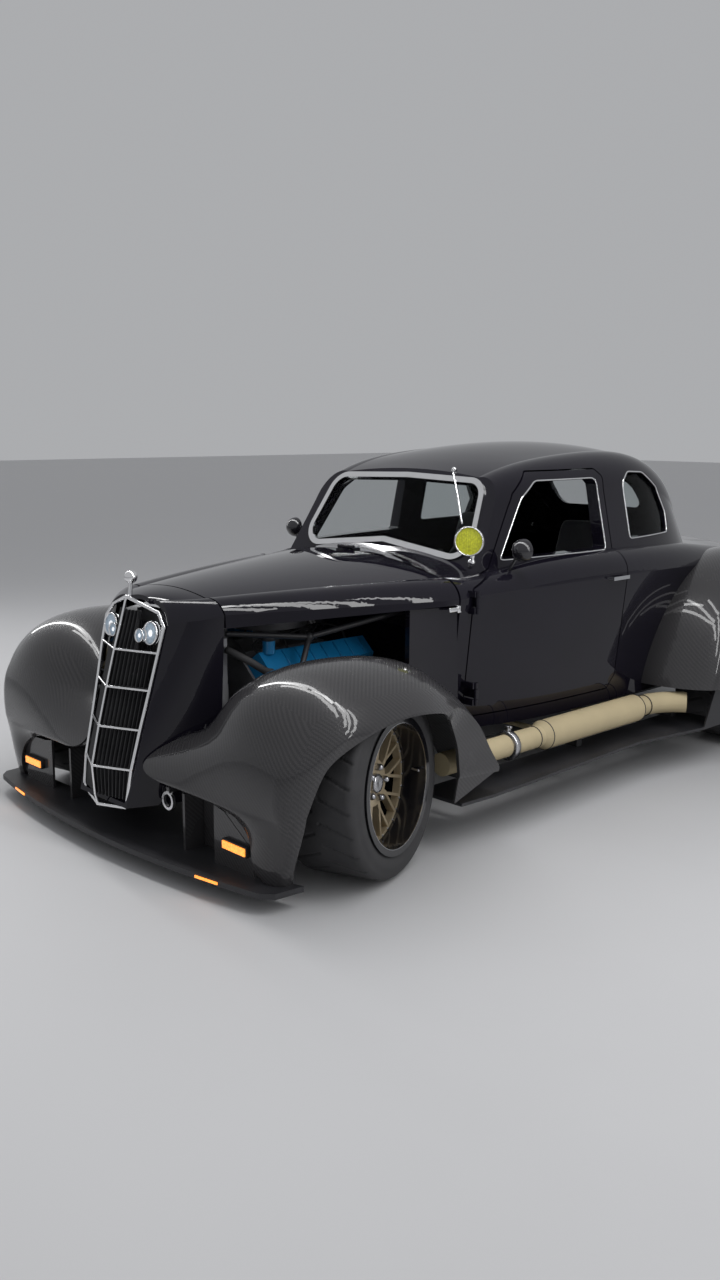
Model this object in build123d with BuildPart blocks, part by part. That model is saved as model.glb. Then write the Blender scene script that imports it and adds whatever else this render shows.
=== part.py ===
# Chopped 1930s style coupe with wide carbon fenders, open engine sides and side exhausts.
# Millimetres. X is the car's left, Y points to the tail, Z is up, the floor is Z = 0.
from build123d import *
from math import atan2, cos, degrees, radians, sin, tan
import os

os.makedirs("parts", exist_ok=True)

# Overall layout
FRONT_AXLE_Y = -1520.0
REAR_AXLE_Y = 1150.0

# Wheels and tyres
FRONT_TYRE_RADIUS = 325.0
FRONT_TYRE_WIDTH = 300.0
REAR_TYRE_RADIUS = 345.0
REAR_TYRE_WIDTH = 345.0
RIM_RADIUS = 236.0
TYRE_BEAD_RADIUS = 226.0
TYRE_SHOULDER = 30.0
STEER_REST = 18.0
CAMBER = 2.5
KINGPIN_X = 726.0
HUB_OFFSET = 95.0
REAR_WHEEL_X = 815.0
SPOKES = 10
SPOKE_FORK = 104.0
STEM_WIDTH = 17.0
BRANCH_WIDTH = 10.5

# Body
WALL = 28.0
DOOR_WALL = 55.0
DOOR_GAP = 6.0
DOOR_INNER_X = 420.0
DOOR_SILL_X = 570.0
SCREEN_RAKE = 28.8
SCREEN_BASE_Y = -602.0
SCREEN_BASE_Z = 995.0
HOOD_WALL = 14.0
SHEET = 14.0

# Lower body sections from the cowl to the tail
TUB = [
    # y, bottom_z, bottom_half, belt_z, belt_half, top_half, top_z, crown_z
    (-798.0, 330.0, 600.0, 880.0, 654.0, 545.0, 958.0, 1028.0),
    (-420.0, 330.0, 668.0, 900.0, 722.0, 620.0, 990.0, 1062.0),
    (0.0, 330.0, 700.0, 905.0, 757.0, 650.0, 1015.0, 1090.0),
    (420.0, 330.0, 705.0, 905.0, 765.0, 640.0, 1015.0, 1080.0),
    (840.0, 330.0, 680.0, 895.0, 745.0, 600.0, 990.0, 1040.0),
    (1250.0, 340.0, 620.0, 870.0, 690.0, 540.0, 945.0, 985.0),
    (1600.0, 350.0, 545.0, 830.0, 610.0, 460.0, 915.0, 952.0),
    (1880.0, 370.0, 460.0, 760.0, 520.0, 380.0, 850.0, 885.0),
    (2060.0, 410.0, 380.0, 620.0, 420.0, 300.0, 690.0, 712.0),
]

# Roof and pillar sections, their feet stand inside the lower body
CABIN = [
    # y, foot_z, foot_half, side_z, side_half, top_half, top_z, crown_z
    (-800.0, 860.0, 590.0, 1120.0, 512.0, 360.0, 1240.0, 1262.0),
    (-430.0, 860.0, 660.0, 1215.0, 556.0, 400.0, 1330.0, 1352.0),
    (-60.0, 860.0, 700.0, 1270.0, 600.0, 430.0, 1412.0, 1440.0),
    (300.0, 860.0, 712.0, 1280.0, 618.0, 440.0, 1436.0, 1474.0),
    (620.0, 860.0, 700.0, 1250.0, 604.0, 420.0, 1410.0, 1452.0),
    (860.0, 860.0, 655.0, 1180.0, 548.0, 370.0, 1320.0, 1366.0),
    (1030.0, 860.0, 590.0, 1085.0, 470.0, 310.0, 1190.0, 1226.0),
    (1180.0, 860.0, 500.0, 935.0, 360.0, 240.0, 950.0, 960.0),
]

# Hood sections
HOOD = [
    # y, lower_z, lower_half, side_z, side_half, top_half, top_z, crown_z
    (-1700.0, 832.0, 332.0, 880.0, 330.0, 215.0, 930.0, 952.0),
    (-1250.0, 848.0, 505.0, 882.0, 503.0, 380.0, 948.0, 994.0),
    (-806.0, 860.0, 652.0, 880.0, 652.0, 543.0, 957.0, 1027.0),
]


def body_outline(row, inset=0.0, floor_drop=0.0):
    """Closed cross-section of the body drawn in the XZ plane at the row's Y."""
    y, low_z, low_half, side_z, side_half, top_half, top_z, crown_z = row
    low = (low_half - inset, low_z + inset - floor_drop)
    side = (side_half - inset, side_z)
    top = (top_half - 0.6 * inset, top_z - inset)
    crown = (0.0, crown_z - inset)
    knee = (
        top[0] + 0.72 * (side[0] - top[0]),
        side[1] + 0.72 * (top[1] - side[1]),
    )
    with BuildSketch(Plane.XZ.offset(-y)) as outline:
        with BuildLine():
            Line((-low[0], low[1]), (low[0], low[1]))
            Line((low[0], low[1]), side)
            ThreePointArc(side, knee, top)
            ThreePointArc(top, crown, (-top[0], top[1]))
            ThreePointArc((-top[0], top[1]), (-knee[0], knee[1]), (-side[0], side[1]))
            Line((-side[0], side[1]), (-low[0], low[1]))
        make_face()
    return outline.sketch


def save(piece, name):
    """Label a finished piece and write its STEP file."""
    piece.part.label = name
    export_step(piece.part, f"parts/{name}.step")


def bar(start, end, radius):
    """Round bar between two points."""
    foot = Vector(*start)
    way = Vector(*end) - foot
    with BuildPart() as rod:
        with BuildSketch(Plane(origin=foot, z_dir=way)):
            Circle(radius)
        extrude(amount=way.length)
    return rod.part


def screen_wedge(shift):
    """Solid ahead of the windscreen plane moved back by the shift."""
    lean = tan(radians(SCREEN_RAKE))
    low_z = 700.0
    high_z = 1560.0
    with BuildPart() as wedge:
        with BuildSketch(Plane.YZ.offset(-900.0)):
            with BuildLine():
                Polyline(
                    (-1300.0, low_z),
                    (SCREEN_BASE_Y + lean * (low_z - SCREEN_BASE_Z) + shift, low_z),
                    (SCREEN_BASE_Y + lean * (high_z - SCREEN_BASE_Z) + shift, high_z),
                    (-1300.0, high_z),
                    close=True,
                )
            make_face()
        extrude(amount=1800.0)
    return wedge.part


def body_master(inset, floor_drop, last_row, shift):
    """Lower body and cabin as one solid, moved inward by the inset."""
    with BuildPart() as cabin:
        for row in CABIN:
            add(body_outline(row, inset, floor_drop))
        loft()
        add(screen_wedge(shift), mode=Mode.SUBTRACT)
    with BuildPart() as master:
        for row in TUB[:last_row]:
            add(body_outline(row, inset))
        loft()
        add(cabin.part)
    return master.part


body_outer = body_master(0.0, 0.0, len(TUB), 0.0)
body_inner = body_master(WALL, 2.0 * WALL, len(TUB) - 1, WALL)
door_inner = body_master(DOOR_WALL, 2.0 * DOOR_WALL, len(TUB) - 1, WALL)

# Door shape seen from the side
DOOR_OUTLINE = [
    # y, z
    (-735.0, 392.0),
    (-735.0, 912.0),
    (-566.0, 975.0),
    (-372.0, 1270.0),
    (-250.0, 1358.0),
    (150.0, 1362.0),
    (186.0, 1330.0),
    (186.0, 450.0),
    (140.0, 392.0),
]
DOOR_WINDOW = [
    (-500.0, 1012.0),
    (-330.0, 1250.0),
    (-235.0, 1318.0),
    (125.0, 1322.0),
    (140.0, 1300.0),
    (140.0, 1018.0),
]
QUARTER_WINDOW = [
    (340.0, 1052.0),
    (340.0, 1300.0),
    (390.0, 1342.0),
    (520.0, 1336.0),
    (640.0, 1262.0),
    (705.0, 1150.0),
    (690.0, 1060.0),
]

with BuildSketch(Plane.YZ) as door_face:
    with BuildLine():
        Polyline(*DOOR_OUTLINE, close=True)
    make_face()
    fillet(door_face.vertices(), 24.0)

with BuildSketch(Plane.YZ) as door_hole_face:
    add(door_face.sketch_local)
    offset(amount=DOOR_GAP, mode=Mode.REPLACE)

with BuildSketch(Plane.YZ) as door_window_face:
    with BuildLine():
        Polyline(*DOOR_WINDOW, close=True)
    make_face()
    fillet(door_window_face.vertices(), 14.0)

with BuildSketch(Plane.YZ) as quarter_window_face:
    with BuildLine():
        Polyline(*QUARTER_WINDOW, close=True)
    make_face()
    fillet(quarter_window_face.vertices(), 22.0)

# Windscreen plane and opening
screen_up = Vector(0.0, sin(radians(SCREEN_RAKE)), cos(radians(SCREEN_RAKE)))
screen_out = Vector(0.0, -cos(radians(SCREEN_RAKE)), sin(radians(SCREEN_RAKE)))
screen_plane = Plane(
    origin=(0.0, SCREEN_BASE_Y, SCREEN_BASE_Z), x_dir=(1.0, 0.0, 0.0), z_dir=screen_out
)
SCREEN_LOW_HALF = 500.0
SCREEN_HIGH_HALF = 436.0
SCREEN_HEIGHT = 355.0
SCREEN_CORNER = 75.0

with BuildSketch(screen_plane) as screen_face:
    with BuildLine():
        Polyline(
            (-SCREEN_LOW_HALF, 20.0),
            (0.0, 80.0),
            (SCREEN_LOW_HALF, 20.0),
            (SCREEN_HIGH_HALF, SCREEN_HEIGHT),
            (0.0, SCREEN_HEIGHT + 14.0),
            (-SCREEN_HIGH_HALF, SCREEN_HEIGHT),
            close=True,
        )
    make_face()
    fillet(screen_face.vertices().sort_by(Axis.X)[:2], SCREEN_CORNER)
    fillet(screen_face.vertices().sort_by(Axis.X)[-2:], SCREEN_CORNER)

# Luggage lid shape seen from above
LID_OUTLINE = [
    # x, y
    (-410.0, 1250.0),
    (410.0, 1250.0),
    (300.0, 1945.0),
    (-300.0, 1945.0),
]
LID_GAP = 6.0

LID_TOP_Z = 1000.0
LID_DEPTH = 440.0
LID_BEVEL = 15.0
LID_THICK = 30.0

with BuildSketch(Plane.XY.offset(LID_TOP_Z)) as lid_face:
    with BuildLine():
        Polyline(*LID_OUTLINE, close=True)
    make_face()
    fillet(lid_face.vertices(), 90.0)

with BuildSketch(Plane.XY.offset(LID_TOP_Z)) as lid_hole_face:
    add(lid_face.sketch_local)
    offset(amount=LID_GAP, mode=Mode.REPLACE)

# Wheelhouses and the front of the cabin
REAR_WHEELHOUSE_RADIUS = 402.0
WHEELHOUSE_INNER_X = 585.0
FIREWALL_Y = -765.0
COWL_SIDE_FRONT_Y = -1000.0

with BuildPart() as rear_wheel_space:
    for side in (-1, 1):
        with BuildSketch(Plane.YZ.offset(side * WHEELHOUSE_INNER_X)):
            with Locations((REAR_AXLE_Y, REAR_TYRE_RADIUS)):
                Circle(REAR_WHEELHOUSE_RADIUS)
        extrude(amount=side * 600.0)

with BuildPart() as cabin_space:
    add(body_inner)
    with Locations((0.0, FIREWALL_Y - 200.0, 800.0)):
        Box(1800.0, 400.0, 2000.0, mode=Mode.SUBTRACT)

# Hinges have a pin between two fixed knuckles, the moving piece has the middle one
PIN_RADIUS = 4.0
PIN_GAP = 0.06
HINGE_RADIUS = 9.0
HINGE_HALF = 46.0
HINGE_MIDDLE = 20.0
HINGE_PLAY = 2.0
FIXED_LEAF = HINGE_HALF - HINGE_MIDDLE - HINGE_PLAY
FIXED_LEAF_AT = HINGE_HALF - FIXED_LEAF / 2.0
DOOR_HINGE_X = 690.0
DOOR_HINGE_Y = -738.0
DOOR_LEAF_SHIFT = 12.0
DOOR_LEAF_THICK = 14.0
DOOR_HINGES = [
    # z, leaf_root_x
    (500.0, 612.0),
    (868.0, 645.0),
]
TOP_LEAF_LENGTH = 38.0
TOP_LEAF_THICK = 18.0
HOOD_PIN = (0.0, -802.0, 1038.0)
HOOD_FIXED_LEAF = (-781.0, 1027.0)
HOOD_MOVING_LEAF = (-823.0, 1025.0)
LID_PIN = (0.0, 1250.0, 996.0)
LID_FIXED_LEAF = (1227.0, 986.0)
LID_MOVING_LEAF = (1273.0, 984.0)


def hinge_fixed(point, way):
    """Pin with its two outer knuckles about the point."""
    middle = Vector(*point)
    along = Vector(*way)
    with BuildPart() as hinge:
        add(bar(middle - along * HINGE_HALF, middle + along * HINGE_HALF, PIN_RADIUS))
        for end in (-1, 1):
            start = middle + along * end * HINGE_HALF
            add(bar(start, start - along * end * FIXED_LEAF, HINGE_RADIUS))
    return hinge.part


def hinge_moving(point, way, reach, radius):
    """Round bar about the hinge pin's middle."""
    middle = Vector(*point)
    along = Vector(*way)
    return bar(middle - along * reach, middle + along * reach, radius)


with BuildPart() as body_shell:
    add(body_outer)
    add(cabin_space.part, mode=Mode.SUBTRACT)
    extrude(door_hole_face.sketch, amount=900.0, both=True, mode=Mode.SUBTRACT)
    extrude(quarter_window_face.sketch, amount=900.0, both=True, mode=Mode.SUBTRACT)
    extrude(screen_face.sketch, amount=90.0, both=True, mode=Mode.SUBTRACT)
    extrude(lid_hole_face.sketch, amount=-LID_DEPTH, taper=LID_BEVEL, mode=Mode.SUBTRACT)
    add(rear_wheel_space.part, mode=Mode.SUBTRACT)
    # room above the rear axle
    with Locations((0.0, REAR_AXLE_Y, 400.0)):
        Box(1200.0, 420.0, 220.0, mode=Mode.SUBTRACT)
    # rear window
    with BuildSketch(Plane.XZ.offset(-860.0)):
        with Locations((0.0, 1205.0)):
            RectangleRounded(520.0, 150.0, 50.0)
    extrude(amount=-400.0, mode=Mode.SUBTRACT)
    # hood side panels ahead of the doors
    for side in (-1, 1):
        with BuildSketch(Plane.XY.offset(430.0)):
            with BuildLine():
                Polyline(
                    (side * 572.0, COWL_SIDE_FRONT_Y),
                    (side * 640.0, -790.0),
                    (side * 618.0, -790.0),
                    (side * 548.0, COWL_SIDE_FRONT_Y),
                    close=True,
                )
            make_face()
        extrude(amount=422.0)
    # fixed halves of the hinges
    for side in (-1, 1):
        for z, root_x in DOOR_HINGES:
            add(hinge_fixed((side * DOOR_HINGE_X, DOOR_HINGE_Y, z), (0.0, 0.0, 1.0)))
            for rise in (-FIXED_LEAF_AT, FIXED_LEAF_AT):
                with Locations(
                    (side * (root_x + DOOR_HINGE_X) / 2.0, DOOR_HINGE_Y - DOOR_LEAF_SHIFT, z + rise)
                ):
                    Box(DOOR_HINGE_X - root_x, DOOR_LEAF_THICK, FIXED_LEAF)
    for pin, leaf in ((HOOD_PIN, HOOD_FIXED_LEAF), (LID_PIN, LID_FIXED_LEAF)):
        add(hinge_fixed(pin, (1.0, 0.0, 0.0)))
        for x in (-FIXED_LEAF_AT, FIXED_LEAF_AT):
            with Locations((x, leaf[0], leaf[1])):
                Box(FIXED_LEAF, TOP_LEAF_LENGTH, TOP_LEAF_THICK)
save(body_shell, "body_shell")


def door_solid(side):
    """Door cut from the body with its window, side is 1 for the car's left."""
    with BuildPart() as door:
        add(body_outer)
        extrude(door_face.sketch, amount=side * 900.0, mode=Mode.INTERSECT)
        extrude(door_window_face.sketch, amount=side * 900.0, mode=Mode.SUBTRACT)
        add(door_inner, mode=Mode.SUBTRACT)
        with Locations((0.0, 0.0, 800.0)):
            Box(2.0 * DOOR_INNER_X, 2400.0, 1400.0, mode=Mode.SUBTRACT)
        with Locations((0.0, 0.0, 600.0)):
            Box(2.0 * DOOR_SILL_X, 2400.0, 700.0, mode=Mode.SUBTRACT)
        for z, root_x in DOOR_HINGES:
            pin = (side * DOOR_HINGE_X, DOOR_HINGE_Y, z)
            with Locations(
                (side * (root_x + DOOR_HINGE_X) / 2.0, DOOR_HINGE_Y + DOOR_LEAF_SHIFT, z)
            ):
                Box(DOOR_HINGE_X - root_x, DOOR_LEAF_THICK, 2.0 * HINGE_MIDDLE)
            add(hinge_moving(pin, (0.0, 0.0, 1.0), HINGE_MIDDLE, HINGE_RADIUS))
            add(
                hinge_moving(pin, (0.0, 0.0, 1.0), HINGE_MIDDLE, PIN_RADIUS + PIN_GAP),
                mode=Mode.SUBTRACT,
            )
    return door


door_left = door_solid(1)
door_right = door_solid(-1)
save(door_left, "door_left")
save(door_right, "door_right")

# Luggage lid
with BuildPart() as deck_lid:
    add(body_outer)
    extrude(lid_face.sketch, amount=-LID_DEPTH, taper=LID_BEVEL, mode=Mode.INTERSECT)
    add(body_outer.moved(Location((0.0, 0.0, -LID_THICK))), mode=Mode.SUBTRACT)
    with Locations((0.0, *LID_MOVING_LEAF)):
        Box(2.0 * HINGE_MIDDLE, TOP_LEAF_LENGTH, TOP_LEAF_THICK)
    add(hinge_moving(LID_PIN, (1.0, 0.0, 0.0), HINGE_MIDDLE, HINGE_RADIUS))
    add(
        hinge_moving(LID_PIN, (1.0, 0.0, 0.0), HINGE_MIDDLE, PIN_RADIUS + PIN_GAP),
        mode=Mode.SUBTRACT,
    )
save(deck_lid, "deck_lid")

# Hood
with BuildPart() as hood_space:
    for row in HOOD:
        shifted = (row[0], row[1] - 40.0) + row[2:]
        add(body_outline(shifted, HOOD_WALL))
    loft()

with BuildPart() as hood:
    for row in HOOD:
        add(body_outline(row))
    loft()
    add(hood_space.part, mode=Mode.SUBTRACT)
    with Locations((0.0, *HOOD_MOVING_LEAF)):
        Box(2.0 * HINGE_MIDDLE, TOP_LEAF_LENGTH, TOP_LEAF_THICK)
    add(hinge_moving(HOOD_PIN, (1.0, 0.0, 0.0), HINGE_MIDDLE, HINGE_RADIUS))
    add(
        hinge_moving(HOOD_PIN, (1.0, 0.0, 0.0), HINGE_MIDDLE, PIN_RADIUS + PIN_GAP),
        mode=Mode.SUBTRACT,
    )
save(hood, "hood")

# Nose shell between the hood and the grille
NOSE_RAKE = 14.6
nose_front = Plane(
    origin=(0.0, -1994.0, 326.0),
    x_dir=(1.0, 0.0, 0.0),
    z_dir=(0.0, -cos(radians(NOSE_RAKE)), sin(radians(NOSE_RAKE))),
)


def nose_outline(plane, low_half, low_v, side_half, side_v, top_half, top_v, crown_v, inset=0.0):
    """Closed nose section on the plane."""
    low = (low_half - inset, low_v + inset)
    side = (side_half - inset, side_v)
    top = (top_half - 0.6 * inset, top_v - inset)
    knee = (top[0] + 0.72 * (side[0] - top[0]), side[1] + 0.72 * (top[1] - side[1]))
    with BuildSketch(plane) as outline:
        with BuildLine():
            Line((-low[0], low[1]), low)
            Line(low, side)
            ThreePointArc(side, knee, top)
            ThreePointArc(top, (0.0, crown_v - inset), (-top[0], top[1]))
            ThreePointArc((-top[0], top[1]), (-knee[0], knee[1]), (-side[0], side[1]))
            Line((-side[0], side[1]), (-low[0], low[1]))
        make_face()
    return outline.sketch


nose_back = Plane.XZ.offset(1706.0)
nose_mid = Plane(
    origin=(0.0, -1862.0, 326.0),
    x_dir=(1.0, 0.0, 0.0),
    z_dir=(0.0, -cos(radians(7.5)), sin(radians(7.5))),
)
NOSE_SECTIONS = [
    # plane, low_half, low_v, side_half, side_v, top_half, top_v, crown_v
    (nose_back, 288.0, 200.0, 331.0, 878.0, 215.0, 929.0, 951.0),
    (nose_mid, 232.0, -132.0, 268.0, 540.0, 160.0, 604.0, 622.0),
    (nose_front, 158.0, -140.0, 200.0, 545.0, 75.0, 614.0, 626.0),
]

with BuildPart() as nose_space:
    for row in NOSE_SECTIONS:
        add(nose_outline(*row, inset=16.0))
    loft()

with BuildPart() as nose_shell:
    for row in NOSE_SECTIONS:
        add(nose_outline(*row))
    loft()
    add(nose_space.part, mode=Mode.SUBTRACT)
save(nose_shell, "nose_shell")

# Grille with a forward ridge, slats behind a bright frame
SLAT_PITCH = 15.5
SLAT_WIDTH = 5.0
SLAT_DEPTH = 14.0
SLATS_PER_SIDE = 9
SLAT_SETBACK = 4.0
CARRIER_RADIUS = 6.0
CARRIER_DEPTH = 20.0
LAMP_SLATS = 4
GRILLE_SIDE = [
    # half_width, y, z, ridge_y
    (128.0, -2010.0, 182.0, -2046.0),
    (146.0, -2016.0, 215.0, -2060.0),
    (153.0, -2000.0, 326.0, -2068.0),
    (161.0, -1963.0, 469.0, -2034.0),
    (173.0, -1926.0, 611.0, -1996.0),
    (185.0, -1893.0, 745.0, -1958.0),
    (190.0, -1868.0, 838.0, -1928.0),
    (150.0, -1862.0, 884.0, -1912.0),
]
GRILLE_TOP = (0.0, -1900.0, 932.0)
GRILLE_FOOT = (0.0, -2050.0, 176.0)
FRAME_RADIUS = 7.0
BAR_RADIUS = 4.5


def slat_profile(share, low, high):
    """Side view points of a slat, share is 0 at the ridge and 1 at the frame."""
    rows = GRILLE_SIDE[low:high]
    front = [(r[3] + share * (r[1] - r[3]) + SLAT_SETBACK, r[2]) for r in rows]
    back = [(y + SLAT_DEPTH, z) for y, z in reversed(front)]
    return front + back


with BuildPart() as grille_trim:
    ridge = [(0.0, r[3], r[2]) for r in GRILLE_SIDE[2:7]]
    ridge = [GRILLE_FOOT, (0.0, GRILLE_SIDE[1][3], GRILLE_SIDE[1][2])] + ridge + [GRILLE_TOP]
    for start, end in zip(ridge[:-1], ridge[1:]):
        add(bar(start, end, BAR_RADIUS))
    for side in (-1, 1):
        frame = [(side * r[0], r[1], r[2]) for r in GRILLE_SIDE]
        frame = [GRILLE_FOOT] + frame + [GRILLE_TOP]
        for start, end in zip(frame[:-1], frame[1:]):
            add(bar(start, end, FRAME_RADIUS))
        for point in frame:
            with Locations(point):
                Sphere(FRAME_RADIUS)
        for r in GRILLE_SIDE[2:6]:
            add(bar((side * r[0], r[1], r[2]), (0.0, r[3], r[2]), BAR_RADIUS))
    # bare ornament on the crown of the frame
    add(bar((0.0, -1885.0, 925.0), (0.0, -1880.0, 985.0), 8.0))
    with Locations((0.0, -1878.0, 1002.0)):
        Sphere(24.0)
    add(nose_shell.part, mode=Mode.SUBTRACT)
save(grille_trim, "grille_trim")

with BuildPart() as grille_slats:
    for side in (-1, 1):
        for i in range(SLATS_PER_SIDE):
            share = (i + 0.75) / (SLATS_PER_SIDE + 0.6)
            top_row = 8 if i < LAMP_SLATS else 6
            with BuildSketch(Plane.YZ.offset(side * (i + 0.75) * SLAT_PITCH - SLAT_WIDTH / 2.0)):
                with BuildLine():
                    Polyline(*slat_profile(share, 1, top_row), close=True)
                make_face()
            extrude(amount=SLAT_WIDTH)
        # carriers behind the slats, from the ridge to the frame
        for r in (GRILLE_SIDE[2], GRILLE_SIDE[4]):
            add(
                bar(
                    (side * r[0], r[1] + CARRIER_DEPTH, r[2]),
                    (0.0, r[3] + CARRIER_DEPTH, r[2]),
                    CARRIER_RADIUS,
                )
            )
    add(grille_trim.part, mode=Mode.SUBTRACT)
    add(nose_shell.part, mode=Mode.SUBTRACT)
save(grille_slats, "grille_slats")

# Headlamps let into the upper corners of the grille
LAMP_POINT = (132.0, -1890.0, 812.0)
LAMP_RADIUS = 44.0
SMALL_LAMP_POINT = (88.0, -1908.0, 800.0)
SMALL_LAMP_RADIUS = 26.0

with BuildPart() as headlamps:
    for side in (-1, 1):
        for point, radius in ((LAMP_POINT, LAMP_RADIUS), (SMALL_LAMP_POINT, SMALL_LAMP_RADIUS)):
            x, y, z = point
            add(bar((side * x, y, z), (side * x, y + 55.0, z - 8.0), radius))
        with Locations((side * 170.0, -1844.0, 806.0)):
            Box(170.0, 12.0, 24.0)
    add(nose_shell.part, mode=Mode.SUBTRACT)
save(headlamps, "headlamps")

# Side exhaust sizes
EXHAUST_X = 800.0
EXHAUST_Z = 298.0
PIPE_RADIUS = 45.0
MUFFLER_RADIUS = 61.0
CLAMP_RADIUS = 54.0
TIP_RADIUS = 48.0
TIP_WALL = 5.0
TIP_BEND_RADIUS = 240.0
TIP_TURN = 55.0
TIP_BORE_DEPTH = 34.0
MUFFLER_END_Y = 235.0
TIP_START_Y = 310.0
HANGER_Z = 272.0

# Fender skins, sections fan out around the wheel
FENDER_LIP_BACK = 0.7
FRONT_FENDER_CENTRE = (0.0, -1490.0, 325.0)
REAR_FENDER_CENTRE = (0.0, REAR_AXLE_Y, 345.0)
FRONT_FENDER = [
    # angle, inner_x, inner_r, crest_x, crest_r, shoulder_x, shoulder_r, lip_x, lip_r, edge_x, edge_r
    (218.0, 806.0, 522.0, 832.0, 520.0, 856.0, 508.0, 874.0, 470.0, 875.0, 462.0),
    (207.5, 791.0, 500.0, 827.0, 500.0, 872.0, 483.0, 900.0, 438.0, 901.0, 430.0),
    (197.0, 772.0, 478.0, 820.0, 480.0, 890.0, 458.0, 928.0, 408.0, 929.0, 400.0),
    (184.0, 600.0, 462.0, 780.0, 470.0, 905.0, 450.0, 955.0, 388.0, 956.0, 380.0),
    (176.0, 205.0, 492.0, 600.0, 482.0, 890.0, 462.0, 970.0, 384.0, 971.0, 376.0),
    (163.0, 262.0, 400.0, 700.0, 488.0, 900.0, 474.0, 990.0, 376.0, 991.0, 368.0),
    (148.0, 330.0, 310.0, 800.0, 500.0, 925.0, 470.0, 1012.0, 358.0, 1013.0, 350.0),
    (130.0, 380.0, 280.0, 835.0, 494.0, 948.0, 446.0, 1030.0, 315.0, 1031.0, 307.0),
    (110.0, 430.0, 270.0, 845.0, 452.0, 960.0, 400.0, 1040.0, 290.0, 1041.0, 282.0),
    (90.0, 480.0, 275.0, 850.0, 430.0, 962.0, 380.0, 1042.0, 284.0, 1043.0, 276.0),
    (70.0, 530.0, 300.0, 850.0, 438.0, 958.0, 388.0, 1036.0, 296.0, 1037.0, 288.0),
    (50.0, 590.0, 350.0, 845.0, 456.0, 940.0, 418.0, 1012.0, 332.0, 1013.0, 324.0),
    (40.0, 600.0, 388.0, 835.0, 476.0, 925.0, 444.0, 985.0, 385.0, 990.0, 340.0),
    (30.0, 604.0, 430.0, 822.0, 498.0, 905.0, 478.0, 958.0, 440.0, 966.0, 350.0),
    (20.0, 606.0, 480.0, 812.0, 530.0, 895.0, 510.0, 952.0, 482.0, 958.0, 355.0),
    (10.0, 610.0, 530.0, 802.0, 565.0, 885.0, 545.0, 950.0, 518.0, 955.0, 358.0),
    (2.0, 620.0, 572.0, 795.0, 595.0, 880.0, 580.0, 950.0, 556.0, 954.0, 360.0),
    (-5.0, 640.0, 606.0, 790.0, 622.0, 875.0, 610.0, 950.0, 592.0, 953.0, 362.0),
]
FENDER_TAIL_PLATE = [
    # y, z
    (-1124.0, 322.0),
    (-905.0, 304.0),
    (-897.0, 286.0),
    (-1150.0, 203.0),
]
FENDER_TAIL_X = 943.0
FENDER_TAIL_THICK = 8.0
REAR_FENDER = [
    (178.0, 690.0, 722.0, 820.0, 722.0, 945.0, 675.0, 1005.0, 392.0),
    (155.0, 680.0, 690.0, 825.0, 694.0, 960.0, 640.0, 1030.0, 388.0),
    (130.0, 670.0, 655.0, 830.0, 662.0, 975.0, 600.0, 1045.0, 388.0),
    (105.0, 660.0, 620.0, 830.0, 628.0, 978.0, 560.0, 1048.0, 388.0),
    (80.0, 640.0, 598.0, 825.0, 604.0, 975.0, 535.0, 1048.0, 388.0),
    (55.0, 600.0, 600.0, 810.0, 606.0, 965.0, 540.0, 1040.0, 388.0),
    (32.0, 560.0, 640.0, 780.0, 646.0, 940.0, 570.0, 1020.0, 390.0),
    (12.0, 520.0, 715.0, 740.0, 720.0, 900.0, 630.0, 985.0, 396.0),
    (-8.0, 500.0, 790.0, 700.0, 795.0, 860.0, 680.0, 950.0, 402.0),
]


def fender_section(centre, row, edge=()):
    """Closed thin section of a fender skin on a plane through the wheel's middle."""
    angle, inner_x, inner_r, crest_x, crest_r, shoulder_x, shoulder_r, lip_x, lip_r = row
    turn = radians(angle)
    plane = Plane(origin=centre, x_dir=(1.0, 0.0, 0.0), z_dir=(0.0, -sin(turn), cos(turn)))
    back = FENDER_LIP_BACK * SHEET
    with BuildSketch(plane) as section:
        with BuildLine():
            over = ThreePointArc((inner_x, inner_r), (crest_x, crest_r), (shoulder_x, shoulder_r))
            flank = TangentArc((shoulder_x, shoulder_r), (lip_x, lip_r), tangent=over % 1)
            if edge:
                edge_x, edge_r = edge
                Polyline(
                    (lip_x, lip_r), (edge_x, edge_r), (edge_x - SHEET, edge_r), (lip_x - SHEET, lip_r)
                )
            else:
                Line((lip_x, lip_r), (lip_x - SHEET, lip_r))
            under = ThreePointArc(
                (inner_x, inner_r - SHEET),
                (crest_x, crest_r - SHEET),
                (shoulder_x - back, shoulder_r - back),
            )
            TangentArc((shoulder_x - back, shoulder_r - back), (lip_x - SHEET, lip_r), tangent=under % 1)
            Line((inner_x, inner_r), (inner_x, inner_r - SHEET))
        make_face()
    return section.sketch


SPLITTER_TOP = 76.0
SPLITTER_THICK = 20.0
SPLITTER_SEAT = 0.3
with BuildPart() as front_fenders:
    for row in FRONT_FENDER:
        add(fender_section(FRONT_FENDER_CENTRE, row[:9], row[9:]))
    loft()
    with BuildSketch(Plane.YZ.offset(FENDER_TAIL_X)):
        with BuildLine():
            Polyline(*FENDER_TAIL_PLATE, close=True)
        make_face()
    extrude(amount=FENDER_TAIL_THICK)
    # foot of the skin on the splitter blade
    with Locations((850.0, -1900.0, SPLITTER_TOP + SPLITTER_SEAT)):
        Box(400.0, 400.0, 200.0, mode=Mode.SUBTRACT, align=(Align.CENTER, Align.CENTER, Align.MAX))
    with BuildSketch(Plane.XZ.offset(800.0)):
        with Locations((EXHAUST_X, EXHAUST_Z)):
            Circle(PIPE_RADIUS + 7.0)
    extrude(amount=400.0, mode=Mode.SUBTRACT)
    mirror(about=Plane.YZ)
    add(body_shell.part, mode=Mode.SUBTRACT)
save(front_fenders, "front_fenders")

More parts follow.
